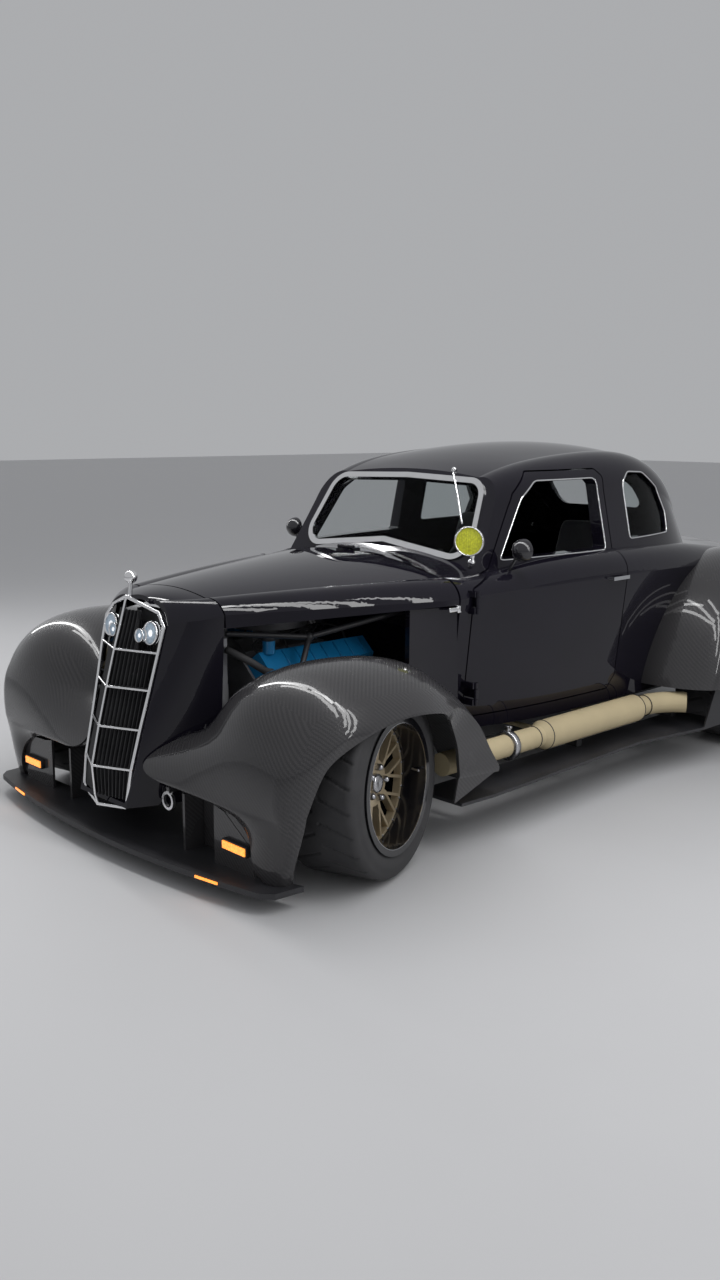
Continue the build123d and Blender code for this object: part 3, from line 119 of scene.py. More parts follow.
# Spot lamp beside the windscreen
SPOT_POINT = (0.596, -0.690, 1.098)
SPOT_WAY = (0.45, -0.89, 0.0)
SPOT_RADIUS = 0.0530
SPOT_RIM = [
    (-0.014, 0.0575), (0.000, 0.0600), (0.005, 0.0595), (0.007, 0.0565), (0.004, 0.0530), (-0.006, 0.0530)
]
SPOT_BOWL = [
    (-0.064, 0.003), (-0.062, 0.016), (-0.055, 0.031), (-0.043, 0.044), (-0.028, 0.0535), (-0.014, 0.0580)
]
SPOT_FLUTE_PITCH = 0.0088
SPOT_FLUTE_REACH = 0.050
SPOT_POST = [(0.590, -0.650, 1.078), (0.576, -0.646, 1.022), (0.562, -0.642, 0.984)]
SPOT_POST_RADIUS = 0.0088
SPOT_JOINTS = [
    # point, radius
    ((0.590, -0.650, 1.078), 0.017),
    ((0.573, -0.645, 1.010), 0.015),
]

# Seats
SEAT_X = 0.33
BASE_HEIGHT = 0.430
BOLSTER_HEIGHT = 0.437
BASE_BOLSTER_X = 0.197
BACK_BOLSTER_X = 0.196
BACK_FOOT = (0.262, 0.405)
BACK_TOP = (0.412, 0.890)
HEAD_FOOT = (0.418, 0.895)
HEAD_TOP = (0.488, 1.095)
PAD_STEPS = (26, 22, 6)
SIDE_PULL = 0.05
CORNER_PULL = 0.10
SEAM_WIDTH = 0.035
SEAM_DEPTH = 0.16
DIALS = [
    # x, radius
    (0.24, 0.042),
    (0.42, 0.042),
    (0.00, 0.050),
    (-0.12, 0.036),
    (0.12, 0.036),
]
DIAL_Y = -0.5535
DIAL_Z = 0.850

# Engine bay
HOSES = [
    # radius, sides, points
    (0.021, 16, [(0.10, -1.45, 0.66), (0.13, -1.52, 0.72), (0.17, -1.60, 0.76), (0.19, -1.634, 0.78)]),
    (0.023, 16, [(-0.10, -1.45, 0.36), (-0.15, -1.55, 0.35), (-0.19, -1.634, 0.36)]),
    (0.014, 12, [(0.31, -1.44, 0.645), (0.345, -1.52, 0.650), (0.335, -1.60, 0.70), (0.262, -1.65, 0.74)]),
]
CYLINDERS = 4
CYLINDER_PITCH = 0.145
WIRE_RADIUS = 0.0045
HEADER_RADIUS = 0.020
PULLEYS = [
    # z, radius, distance in front of the block
    (0.52, 0.075, 0.000),
    (0.38, 0.085, 0.000),
    (0.60, 0.055, 0.012),
]
BLOCK_FRONT_Y = -1.541
COVER_MIDDLE = (0.2678, -1.245, 0.6294)
COVER_TILT = atan2(0.668 - 0.590, 0.310 - 0.225)
COVER_RIBS = 7
FIN_COUNT = 24
FIN_PITCH = 0.02

# Side exhausts
EXHAUST_X = 0.800
EXHAUST_Z = 0.298
CLAMP_Y = -0.665
WELD_STEPS = 48
WELD_RADIUS = 0.0022
WELD_WAVE = 0.0012
WELDS = [
    # y, radius
    (-0.500, 0.0458),
    (-0.438, 0.0615),
    (0.234, 0.0615),
    (0.308, 0.0478),
]

# Trim
MIRROR_FOOT_Z = 0.955
MIRROR_REAR_Y = -0.35
MIRROR_GLASS_POINT = (0.705, -0.4798, 1.056)
WIPER_PIVOT = [(0.243, -0.396, 1.366), (0.243, -0.382, 1.359)]
WIPER_ARM = [(0.243, -0.398, 1.362), (0.345, -0.478, 1.262), (0.440, -0.556, 1.149)]
BEAD_SIZE = 0.0035
BEAD_CORNER = 0.020
DOOR_WINDOW = [
    # y, z
    (-0.503, 1.008),
    (-0.331, 1.254),
    (-0.236, 1.322),
    (0.127, 1.326),
    (0.144, 1.301),
    (0.144, 1.014),
]
QUARTER_WINDOW = [
    # y, z
    (0.336, 1.048),
    (0.336, 1.302),
    (0.389, 1.347),
    (0.522, 1.341),
    (0.643, 1.265),
    (0.710, 1.150),
    (0.694, 1.056),
]
LATCH_X = 0.656
LATCH_Z = 0.846

# Front details
TOW_RING = (0.288, -1.934, 0.232)
TOW_RING_REACH = 0.036
VALANCE_CORNER = [
    # x, z
    (0.612, 0.2705),
    (0.790, 0.262),
    (0.792, 0.100),
    (0.766, 0.100),
    (0.766, 0.170),
]
CORNER_PLANES = (-1.9285, -1.9235)
LAMP_RIM = (0.680, -1.9385, 0.165)
EDGE_LAMP = (0.640, -2.0330, 0.066)
EDGE_LAMP_TURN = radians(8.6)

# Studio
CAMERA_PLACE = (3.593047, -4.162167, 1.559461)
CAMERA_YAW = 0.806352
CAMERA_PITCH = 0.186610
CAMERA_ROLL = 0.0048978
SENSOR_WIDTH = 36.0
WORLD_COLOUR = (0.66, 0.67, 0.69, 1.0)
WORLD_STRENGTH = 0.62
FLOOR_REACH = 40.0
STRIP_WIDTH = 0.22
STRIP_LENGTH = 6.5
STRIP_AIM = (0.0, 0.0, 0.5)
STRIPS = [
    # x, y, z
    (-3.4, -1.0, 3.8),
    (-1.4, -1.0, 4.3),
    (0.4, -1.4, 4.4),
    (2.2, -1.0, 4.3),
    (4.0, -0.6, 4.0),
    (5.8, 0.2, 3.5),
]


# Materials

def arithmetic(operation, swapped=False):
    """Method of a value that makes one node out of it and the other operands."""
    def method(self, *others):
        values = (*others, self) if swapped else (self, *others)
        return self.finish.maths(operation, *values)
    return method


class Value:
    """A number socket of a material that takes part in Python arithmetic."""

    def __init__(self, finish, socket):
        self.finish = finish
        self.socket = socket

    __add__ = arithmetic("ADD")
    __radd__ = arithmetic("ADD", swapped=True)
    __sub__ = arithmetic("SUBTRACT")
    __rsub__ = arithmetic("SUBTRACT", swapped=True)
    __mul__ = arithmetic("MULTIPLY")
    __rmul__ = arithmetic("MULTIPLY", swapped=True)
    __truediv__ = arithmetic("DIVIDE")
    __gt__ = arithmetic("GREATER_THAN")
    __lt__ = arithmetic("LESS_THAN")
    __abs__ = arithmetic("ABSOLUTE")
    floor = arithmetic("FLOOR")
    fraction = arithmetic("FRACT")
    modulo = arithmetic("FLOORED_MODULO")


class Finish:
    """A material with one principled shader, its maths written as expressions."""

    def __init__(self, name, fixed):
        self.material = bpy.data.materials.new(name)
        self.material.use_nodes = True
        self.tree = self.material.node_tree
        self.tree.nodes.clear()
        self.shader = self.node("ShaderNodeBsdfPrincipled", inputs=fixed)
        self.node("ShaderNodeOutputMaterial", inputs={"Surface": self.shader.outputs[0]})

    def feed(self, socket, value):
        """Set a socket to a number or colour, or link what feeds it."""
        if isinstance(value, Value):
            self.tree.links.new(value.socket, socket)
        elif isinstance(value, bpy.types.NodeSocket):
            self.tree.links.new(value, socket)
        else:
            socket.default_value = value

    def node(self, kind, settings=None, inputs=None):
        """Any node, its settings first and then the values or links of its sockets."""
        made = self.tree.nodes.new(kind)
        for key, value in (settings or {}).items():
            setattr(made, key, value)
        for key, value in (inputs or {}).items():
            self.feed(made.inputs[key], value)
        return made

    def maths(self, operation, *values):
        """One step of arithmetic."""
        made = self.node("ShaderNodeMath", {"operation": operation}, dict(enumerate(values)))
        return Value(self, made.outputs[0])

    def place(self):
        """Object coordinates, which ride with the piece."""
        return self.node("ShaderNodeTexCoord").outputs["Object"]

    def axes(self, vector):
        """The three parts of a vector as values."""
        split = self.node("ShaderNodeSeparateXYZ", inputs={"Vector": vector})
        return [Value(self, socket) for socket in split.outputs]

    def facing(self):
        """The three parts of the surface normal in object space."""
        return self.axes(self.node("ShaderNodeTexCoord").outputs["Normal"])

    def offset(self, point):
        """Vector from a point to the place on the piece."""
        made = self.node("ShaderNodeVectorMath", {"operation": "SUBTRACT"}, {0: self.place(), 1: tuple(point)})
        return made.outputs[0]

    def span(self, vector):
        """Length of a vector."""
        made = self.node("ShaderNodeVectorMath", {"operation": "LENGTH"}, {0: vector})
        return Value(self, made.outputs["Value"])

    def noise(self, scale, detail):
        """Noise in object space, from 0 to 1."""
        inputs = {"Vector": self.place(), "Scale": scale, "Detail": detail}
        made = self.node("ShaderNodeTexNoise", inputs=inputs)
        return Value(self, made.outputs["Fac"])

    def blend(self, share, low, high):
        """Colour between two colours."""
        made = self.node("ShaderNodeMix", {"data_type": "RGBA"})
        self.feed(made.inputs["Factor"], share)
        self.feed(made.inputs[6], (*low, 1.0) if isinstance(low, tuple) else low)
        self.feed(made.inputs[7], (*high, 1.0) if isinstance(high, tuple) else high)
        return made.outputs[2]

    def colour(self, value):
        self.feed(self.shader.inputs["Base Color"], value)

    def rough(self, value):
        self.feed(self.shader.inputs["Roughness"], value)

    def metal(self, value):
        self.feed(self.shader.inputs["Metallic"], value)

    def bump(self, height, distance, strength=1.0):
        """Bend the shader's normal by a height."""
        inputs = {"Height": height, "Distance": distance, "Strength": strength}
        made = self.node("ShaderNodeBump", inputs=inputs)
        self.feed(self.shader.inputs["Normal"], made.outputs["Normal"])


def shade(tone, share, more=0.0):
    """A colour made darker or lighter."""
    return tuple(share * part + more for part in tone)


def drifting(name, fixed, cloud, first, second, rough, grain=None):
    """Finish whose colour and roughness drift with one noise, with a fine grain over it."""
    made = Finish(name, fixed)
    drift = made.noise(*cloud)
    made.colour(made.blend(drift, first, second))
    made.rough(rough[0] + rough[1] * drift)
    if grain:
        scale, detail, distance, strength = grain
        made.bump(made.noise(scale, detail), distance, strength)
    return made.material


def paint_black(name, tint):
    """Deep gloss black under clear coat, with faint orange peel and dust."""
    made = Finish(
        name, {"Coat Weight": 1.0, "Coat Roughness": 0.015, "Coat IOR": 1.42, "Specular IOR Level": 0.0}
    )
    cloud = made.noise(2.3, 4.0)
    made.colour(made.blend(cloud, shade(tint, 0.6), shade(tint, 1.5)))
    made.rough(0.16 + 0.12 * made.noise(5.0, 6.0))
    made.bump(made.noise(420.0, 1.0), 0.00006, 0.35)
    return made.material


def paint_carbon(name, tow, dark, light, ring=None):
    """Clear coated twill weave laid over the panel from its nearest side, with a plated tow ring."""
    made = Finish(
        name, {"Coat Weight": 1.0, "Coat Roughness": 0.035, "Coat IOR": 1.42, "Specular IOR Level": 0.15}
    )
    x, y, z = made.axes(made.place())
    ax, ay, az = [abs(part) for part in made.facing()]
    side = (ax > ay) * (ax > az)
    top = (az > ax) * (az > ay)
    across = (x + (y - x) * side) / tow
    along = (z + (y - z) * top * (1.0 - side)) / tow
    over = (across.floor() + along.floor()).modulo(4.0) < 1.5
    warp = across.fraction() - 0.5
    weft = along.fraction() - 0.5
    height = over * (1.0 - 4.0 * warp * warp) + (1.0 - over) * (1.0 - 4.0 * weft * weft)
    cloud = made.noise(3.0, 3.0)
    share = 0.25 + 0.45 * over + 0.30 * cloud
    weave = made.blend(share, dark, light)
    if ring:
        plated = made.span(made.offset(ring)) < TOW_RING_REACH
        weave = made.blend(plated, weave, (0.85, 0.85, 0.87))
        made.metal(plated)
    made.colour(weave)
    made.rough(0.30 - 0.08 * over + 0.10 * cloud)
    made.bump(height, 0.0003, 0.25)
    return made.material


def satin_plate(name, base):
    """Satin black sheet with fine grain, scuffs and road dust."""
    grain = (900.0, 2.0, 0.0002, 0.3)
    return drifting(name, {"IOR": 1.5}, (9.0, 8.0), base, shade(base, 2.6, 0.01), (0.34, 0.3), grain)


def bright_metal(name, tone, smear):
    """Polished plated metal with faint smears."""
    grain = (60.0, 2.0, 0.0001, 0.08)
    return drifting(name, {"Metallic": 1.0}, (28.0, 6.0), tone, shade(tone, 0.86), (smear, 0.10), grain)


def mirror_and_handle(name):
    """Plated door furniture whose mirror, above the belt line, is painted black."""
    made = Finish(name, {"Coat Weight": 0.6, "Coat Roughness": 0.02})
    x, y, z = made.axes(made.place())
    painted = (z > MIRROR_FOOT_Z) * (y < MIRROR_REAR_Y)
    smudge = made.noise(28.0, 6.0)
    plate = made.blend(smudge, (0.80, 0.81, 0.83), (0.68, 0.69, 0.71))
    made.colour(made.blend(painted, plate, (0.014, 0.013, 0.017)))
    made.metal(1.0 - painted)
    made.rough(0.06 + 0.10 * smudge)
    return made.material


def cast_metal(name, dark, light, metal, grain=260.0):
    """Sand cast or rough machined metal."""
    rough = (0.36, 0.34)
    return drifting(name, {"Metallic": metal}, (14.0, 8.0), dark, light, rough, (grain, 4.0, 0.0006, 0.5))


def blue_enamel(name, tone):
    """Brushed on engine enamel, glossy with small runs."""
    coat = {"Coat Weight": 0.6, "Coat Roughness": 0.08}
    return drifting(name, coat, (11.0, 5.0), shade(tone, 0.55), tone, (0.22, 0.25), (120.0, 3.0, 0.0005, 0.35))


def sand_ceramic(name, tone):
    """Matt sprayed ceramic coat with heat stain and overspray."""
    grain = (700.0, 2.0, 0.0003, 0.4)
    return drifting(name, {"IOR": 1.4}, (6.0, 8.0), shade(tone, 0.70), tone, (0.55, 0.2), grain)


def tyre_rubber(name):
    """Worn black rubber, dusty on the tread and brushed on the walls."""
    grain = (500.0, 3.0, 0.0004, 0.5)
    dark, dusty = (0.016, 0.016, 0.018), (0.055, 0.054, 0.056)
    return drifting(name, {"IOR": 1.5}, (16.0, 7.0), dark, dusty, (0.55, 0.3), grain)


def clear_pane(name, tint):
    """Window glass with a faint smear of dust."""
    made = Finish(name, {"Transmission Weight": 1.0, "IOR": 1.1})
    haze = made.noise(4.0, 5.0)
    made.colour(made.blend(haze, tint, shade(tint, 0.94)))
    made.rough(0.015 + 0.05 * haze)
    return made.material


def lit_lens(name, tone, glow):
    """Moulded lens with a lamp behind it."""
    made = Finish(name, {"Coat Weight": 1.0, "Emission Strength": glow})
    ridge = made.noise(150.0, 1.0)
    tint = made.blend(ridge, shade(tone, 0.4), shade(tone, 1.15))
    made.colour(tint)
    made.feed(made.shader.inputs["Emission Color"], tint)
    made.rough(0.12 + 0.2 * ridge)
    made.bump(ridge, 0.0008, 0.5)
    return made.material


def dark_leather(name, tone):
    """Grained leather with creases and worn edges."""
    made = Finish(name, {"Sheen Weight": 0.12, "IOR": 1.45})
    crease = made.noise(22.0, 6.0)
    cell = made.node("ShaderNodeTexVoronoi", inputs={"Vector": made.place(), "Scale": 480.0})
    grain = Value(made, cell.outputs["Distance"])
    made.colour(made.blend(crease, tone, shade(tone, 2.2, 0.004)))
    made.rough(0.42 + 0.25 * crease)
    made.bump(grain + 0.6 * crease, 0.0007, 0.45)
    return made.material


def woven_cloth(name, tone):
    """Close woven seat cloth."""
    made = Finish(name, {"Sheen Weight": 0.3})
    x, y, z = made.axes(made.place())
    weave = (x * 420.0).fraction() * (y * 420.0 + z * 420.0).fraction()
    cloud = made.noise(18.0, 5.0)
    made.colour(made.blend(cloud, tone, shade(tone, 2.0)))
    made.rough(0.75 + 0.2 * cloud)
    made.bump(weave, 0.0006, 0.5)
    return made.material


def wheel_finish(name, middle, axis, half):
    """Gloss black barrel, polished lip and bronze centre, told apart by radius and depth."""
    made = Finish(name, {"Coat Weight": 0.3, "Coat Roughness": 0.05})
    offset = made.offset(middle)
    dot = made.node("ShaderNodeVectorMath", {"operation": "DOT_PRODUCT"}, {0: offset, 1: tuple(axis)})
    depth = Value(made, dot.outputs["Value"])
    span = made.span(offset)
    radius = made.maths("SQRT", span * span - depth * depth)
    lip = (depth > half - LIP_DEPTH) * (radius > LIP_RADII[0]) * (radius < LIP_RADII[1])
    centre = (depth > CENTRE_DEPTHS[0]) * (depth < CENTRE_DEPTHS[1]) * (radius < CENTRE_RADIUS)
    cloud = made.noise(30.0, 6.0)
    barrel = made.blend(cloud, (0.006, 0.006, 0.008), (0.014, 0.014, 0.017))
    bronze = made.blend(cloud, (0.62, 0.51, 0.34), (0.46, 0.37, 0.24))
    made.colour(made.blend(centre, made.blend(lip, barrel, (0.62, 0.63, 0.66)), bronze))
    made.metal(0.1 + 0.45 * centre + 0.9 * lip)
    made.rough(0.10 + 0.22 * centre + 0.08 * cloud)
    made.bump(made.noise(350.0, 3.0), 0.0003, 0.2)
    return made.material


def studio_floor(name, tone):
    """Pale power floated floor with a soft mottle."""
    return drifting(name, {"IOR": 1.45}, (0.7, 7.0), shade(tone, 0.90), tone, (0.42, 0.2))


FINISHES = {}
CARBON = ((0.018, 0.018, 0.020), (0.052, 0.050, 0.052))


def finish(name):
    """One shared material, made the first time it is asked for."""
    if name not in FINISHES:
        look = bpy.context.scene.coupe_paint
        looks = {
            "gloss_black": (paint_black, tuple(look.body_colour)),
            "carbon": (paint_carbon, look.weave_size, *CARBON),
            "valance_carbon": (paint_carbon, look.weave_size, *CARBON, TOW_RING),
            "satin_black": (satin_plate, (0.012, 0.012, 0.014)),
            "grille_black": (satin_plate, (0.006, 0.006, 0.007)),
            "frame_black": (satin_plate, (0.016, 0.016, 0.017)),
            "bright": (bright_metal, (0.97, 0.97, 0.98), 0.05),
            "door_furniture": (mirror_and_handle,),
            "steel": (bright_metal, (0.50, 0.50, 0.52), 0.22),
            "dark_metal": (cast_metal, (0.03, 0.03, 0.032), (0.09, 0.09, 0.095), 0.6),
            "cast": (cast_metal, (0.09, 0.09, 0.10), (0.24, 0.24, 0.25), 0.5),
            "alloy": (cast_metal, (0.34, 0.34, 0.36), (0.56, 0.56, 0.58), 0.9, 90.0),
            "engine_blue": (blue_enamel, tuple(look.engine_colour)),
            "sand_coat": (sand_ceramic, tuple(look.exhaust_colour)),
            "tyre": (tyre_rubber,),
            "clear_glass": (clear_pane, (0.86, 0.90, 0.90)),
            "amber": (lit_lens, (1.0, 0.30, 0.04), 2.2),
            "white_lamp": (lit_lens, (0.95, 0.97, 1.0), 1.1),
            "lamp_face": (lit_lens, (0.46, 0.56, 0.66), 0.32),
            "yellow_lamp": (lit_lens, (0.66, 0.68, 0.03), 0.25),
            "red_lamp": (lit_lens, (0.42, 0.01, 0.01), 0.15),
            "leather": (dark_leather, (0.014, 0.014, 0.016)),
            "cloth": (woven_cloth, (0.016, 0.017, 0.020)),
        }
        maker, *settings = looks[name]
        FINISHES[name] = maker(name, *settings)
    return FINISHES[name]


# Shapes

def show(thing):
    """Link an object into the scene."""
    bpy.context.scene.collection.objects.link(thing)
    return thing


def wear(thing, material):
    """Give an object one material."""
    thing.data.materials.clear()
    thing.data.materials.append(finish(material) if isinstance(material, str) else material)


def dress(material, *names):
    """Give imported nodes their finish."""
    for name in names:
        wear(NODES[name], material)


def piece(name, shape, material, body="chassis", smooth=True):
    """New object made of a bmesh, riding on a body. The slot has the material's name."""
    mesh = bpy.data.meshes.new(name)
    bmesh.ops.recalc_face_normals(shape, faces=shape.faces[:])
    shape.to_mesh(mesh)
    shape.free()
    for face in mesh.polygons:
        face.use_smooth = smooth
    made = show(bpy.data.objects.new(name, mesh))
    wear(made, material)
    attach(made, body)
    return made


def skin(shape, rings, loop_rings, loop_points):
    """Four sided faces between neighbouring rings of vertices."""
    count = len(rings[0])
    for here, there in zip(rings, rings[1:] + (rings[:1] if loop_rings else [])):
        for j in range(count if loop_points else count - 1):
            k = (j + 1) % count
            shape.faces.new((here[j], there[j], there[k], here[k]))


def spun(shape, profile, steps, place=Matrix.Identity(4), closed=False, cut=None):
    """Turn (x, radius) points about the X axis, less the depth that cut gives for each."""
    rings = []
    for i in range(steps):
        turn = 2.0 * pi * i / steps
        ring = []
        for x, radius in profile:
            r = radius - cut(turn, x, radius) if cut else radius
            ring.append(shape.verts.new(place @ Vector((x, r * cos(turn), r * sin(turn)))))
        rings.append(ring)
    skin(shape, rings, True, closed)
    if not closed:
        shape.faces.new([ring[0] for ring in rings][::-1])
        shape.faces.new([ring[-1] for ring in rings])


def slab(shape, size, place, bevel=0.0, steps=2):
    """Box with rounded edges, added to the bmesh."""
    part = bmesh.new()
    bmesh.ops.create_cube(part, size=1.0)
    bmesh.ops.scale(part, vec=size, verts=part.verts)
    if bevel:
        bmesh.ops.bevel(part, geom=part.edges[:], offset=bevel, segments=steps, affect="EDGES", profile=0.5)
    bmesh.ops.transform(part, matrix=place, verts=part.verts)
    part.verts.index_update()
    copies = [shape.verts.new(v.co) for v in part.verts]
    for face in part.faces:
        shape.faces.new([copies[v.index] for v in face.verts])
    part.free()


def plate(shape, outline, front, back):
    """Flat plate with the outline in X and Z between two Y planes."""
    rings = [[shape.verts.new((x, y, z)) for x, z in outline] for y in (front, back)]
    shape.faces.new(rings[0])
    shape.faces.new(rings[1][::-1])
    skin(shape, rings, False, True)


def tube(shape, points, radius, sides=12, closed=False):
    """Round tube through points, its rings turned with the path."""
    path = [Vector(p) for p in points]
    rings = []
    side = None
    for i, point in enumerate(path):
        if closed:
            ahead = path[(i + 1) % len(path)] - path[i - 1]
        else:
            ahead = path[min(i + 1, len(path) - 1)] - path[max(i - 1, 0)]
        ahead.normalize()
        if side is None:
            side = ahead.orthogonal().normalized()
        side = (side - ahead * side.dot(ahead)).normalized()
        up = ahead.cross(side)
        size = radius[i] if isinstance(radius, (list, tuple)) else radius
        ring = []
        for k in range(sides):
            turn = 2.0 * pi * k / sides
            ring.append(shape.verts.new(point + size * (side * cos(turn) + up * sin(turn))))
        rings.append(ring)
    skin(shape, rings, closed, True)
    if not closed:
        shape.faces.new(rings[0][::-1])
        shape.faces.new(rings[-1])


def smooth_path(points, per_span=6):
    """Points on a smooth curve through the given ones."""
    path = [Vector(p) for p in points]
    path = [2 * path[0] - path[1]] + path + [2 * path[-1] - path[-2]]
    made = []
    for a, b, c, d in zip(path[:-3], path[1:-2], path[2:-1], path[3:]):
        for i in range(per_span):
            t = i / per_span
            square = (2 * a - 5 * b + 4 * c - d) * t * t
            cube = (3 * b - a - 3 * c + d) * t * t * t
            made.append(0.5 * (2 * b + (c - a) * t + square + cube))
    made.append(path[-2])
    return made


def rounded(outline, radius, reach=0.025):
    """Closed outline with bent corners and no span longer than the reach."""
    corners = [Vector(point) for point in outline]
    made = []
    for i, corner in enumerate(corners):
        before = corner + (corners[i - 1] - corner).normalized() * radius
        after = corner + (corners[(i + 1) % len(corners)] - corner).normalized() * radius
        if made:
            start = made[-1]
            steps = max(int((before - start).length / reach), 1)
            made += [start.lerp(before, k / steps) for k in range(1, steps)]
        made += [before.lerp(corner, t).lerp(corner.lerp(after, t), t) for t in (0.0, 0.2, 0.4, 0.6, 0.8, 1.0)]
    start = made[-1]
    steps = max(int((made[0] - start).length / reach), 1)
    return made + [start.lerp(made[0], k / steps) for k in range(1, steps)]


def at(x, y, z):
    """Frame moved to a point."""
    return Matrix.Translation((x, y, z))


def along(point, way):
    """Frame at a point whose X axis runs along the way."""
    ahead = Vector(way).normalized()
    up = Vector((0.0, 0.0, 1.0)) if abs(ahead.z) < 0.95 else Vector((0.0, 1.0, 0.0))
    side = up.cross(ahead).normalized()
    top = ahead.cross(side)
    turn = Matrix((ahead, side, top)).transposed()
    return Matrix.Translation(point) @ turn.to_4x4()


def on_circle(place, depth, radius, count, start=0.0):
    """Frames spread evenly on a circle about the X axis of a place."""
    turns = [2.0 * pi * (i + start) / count for i in range(count)]
    return [place @ at(depth, radius * cos(turn), radius * sin(turn)) for turn in turns]


def front_wheel_place(side):
    """Frame of a front wheel with its X axis out of the wheel, side is 1 for the left."""
    radius, width = FRONT_TYRE
    height = radius * cos(CAMBER) + (width / 2.0 - TREAD_INSET) * sin(CAMBER)
    x = side * (KINGPIN[0] + cos(STEER_REST) * HUB_OFFSET)
    y = KINGPIN[1] + side * sin(STEER_REST) * HUB_OFFSET
    heading = STEER_REST if side > 0 else STEER_REST + pi
    return at(x, y, height) @ Matrix.Rotation(heading, 4, "Z") @ Matrix.Rotation(-CAMBER, 4, "Y")


def rear_wheel_place(side):
    """Frame of a rear wheel with its X axis out of the wheel."""
    turn = Matrix.Rotation(0.0 if side > 0 else pi, 4, "Z")
    return at(side * REAR_WHEEL[0], REAR_WHEEL[1], REAR_TYRE[0]) @ turn


WHEELS = [
    # corner, tyre, place
    ("front_left", FRONT_TYRE, front_wheel_place(1)),
    ("front_right", FRONT_TYRE, front_wheel_place(-1)),
    ("rear_left", REAR_TYRE, rear_wheel_place(1)),
    ("rear_right", REAR_TYRE, rear_wheel_place(-1)),
]


# Settings

class CoupePaint(bpy.types.PropertyGroup):
    """Colours and weave of the outside."""

    body_colour: FloatVectorProperty(
        name="Body colour", description="Paint of the steel body", subtype="COLOR",
        size=3, min=0.0, max=1.0, default=(0.008, 0.007, 0.012),
    )
    engine_colour: FloatVectorProperty(
        name="Engine colour", description="Enamel of the valve covers", subtype="COLOR",
        size=3, min=0.0, max=1.0, default=(0.01, 0.22, 0.50),
    )
    exhaust_colour: FloatVectorProperty(
        name="Exhaust colour", description="Ceramic coat of the side pipes", subtype="COLOR",
        size=3, min=0.0, max=1.0, default=(0.60, 0.50, 0.31),
    )
    weave_size: FloatProperty(
        name="Weave size", description="Width of one tow of the carbon cloth",
        subtype="DISTANCE", unit="LENGTH", default=0.0045, min=0.001, max=0.02,
    )


class CoupeTread(bpy.types.PropertyGroup):
    """Slots cut in the tyre treads."""

    slot_pitch: FloatProperty(
        name="Slot pitch", description="Distance from slot to slot around the tread",
        subtype="DISTANCE", unit="LENGTH", default=0.085, min=0.03, max=0.3,
    )
    slot_width: FloatProperty(
        name="Slot width", description="Width of a slot", subtype="DISTANCE",
        unit="LENGTH", default=0.009, min=0.003, max=0.03,
    )
    slot_depth: FloatProperty(
        name="Slot depth", description="Depth of a slot", subtype="DISTANCE",
        unit="LENGTH", default=0.006, min=0.001, max=0.012,
    )
    steps_round: IntProperty(
        name="Steps round", description="Mesh steps around a tyre", default=440, min=60, max=720
    )


class CoupeStage(bpy.types.PropertyGroup):
    """Floor, light and camera."""

    floor_colour: FloatVectorProperty(
        name="Floor colour", description="Colour of the floor", subtype="COLOR",
        size=3, min=0.0, max=1.0, default=(0.60, 0.60, 0.61),
    )
    lamp_power: FloatProperty(
        name="Lamp power", description="Power of one overhead strip", subtype="POWER",
        default=40.0, min=0.0, max=2000.0,
    )
    focal_length: FloatProperty(
        name="Focal length", description="Lens of the camera in millimetres",
        default=32.37, min=10.0, max=200.0,
    )


# Pieces

def make_tyre(corner, size, place, tread):
    """Tyre with rounded walls, raised rim guard and slots cut in its tread."""
    radius, width = size
    half = width / 2.0
    shoulder = radius - SHOULDER_HIGH
    wall = [(half - inset, BEAD_RADIUS + high) for inset, high in TYRE_WALL]
    wall += [(half - WALL_BULGE, 0.5 * (wall[-1][1] + shoulder)), (half - WALL_TUCK, shoulder)]
    for i in range(1, SHOULDER_STEPS + 1):
        bend = 0.5 * pi * i / SHOULDER_STEPS
        x = half - WALL_TUCK - SHOULDER_WIDE * (1.0 - cos(bend))
        wall.append((x, shoulder + SHOULDER_HIGH * sin(bend)))
    crown = [(half - TREAD_INSET) * (1.0 - 2.0 * i / TREAD_STEPS) for i in range(1, TREAD_STEPS)]
    profile = wall + [(x, radius) for x in crown] + [(-x, r) for x, r in reversed(wall)]
    around = 2.0 * pi * radius
    pitch = around / round(around / tread.slot_pitch)

    def slot_cut(turn, x, r):
        """Depth of the tread slots at an angle and a place across the tyre."""
        reach = abs(x) / half
        if r <= radius - TREAD_SKIN or reach < SLOT_START or reach > SLOT_END:
            return 0.0
        run = turn * radius - SLOT_LEAN * abs(x) + (0.5 * tread.slot_pitch if x > 0 else 0.0)
        return tread.slot_depth if run % pitch < tread.slot_width else 0.0

    shape = bmesh.new()
    spun(shape, profile, tread.steps_round, place, closed=True, cut=slot_cut)
    made = piece(f"tread_{corner}", shape, "tyre", body=f"wheel_{corner}")
    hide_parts(f"tyre_{corner}")


def make_wheel_details(corner, size, place):
    """Finish of a rim, its lug nuts, centre cap, valve and ring of small bolts."""
    body = f"wheel_{corner}"
    axis = place.to_3x3() @ Vector((1.0, 0.0, 0.0))
    wear(NODES[body], wheel_finish(body, place.translation, axis, size[1] / 2.0))
    shape = bmesh.new()
    for spot in on_circle(place, NUT_SEAT, 0.5 * LUG_CIRCLE, LUG_COUNT):
        spun(shape, LUG_NUT, 6, spot)
    spun(shape, HUB_CAP, 40, place @ at(NUT_SEAT, 0.0, 0.0))
    piece(f"lugs_{corner}", shape, "steel", body=body)
    shape = bmesh.new()
    for spot in on_circle(place, BOLT_SEAT, BOLT_RING, BOLT_COUNT, 0.5):
        spun(shape, RIM_BOLT, 8, spot)
    tube(shape, [place @ Vector(point) for point in VALVE_STEM], VALVE_RADIUS, 8)
    piece(f"rim_bolts_{corner}", shape, "steel", body=body)


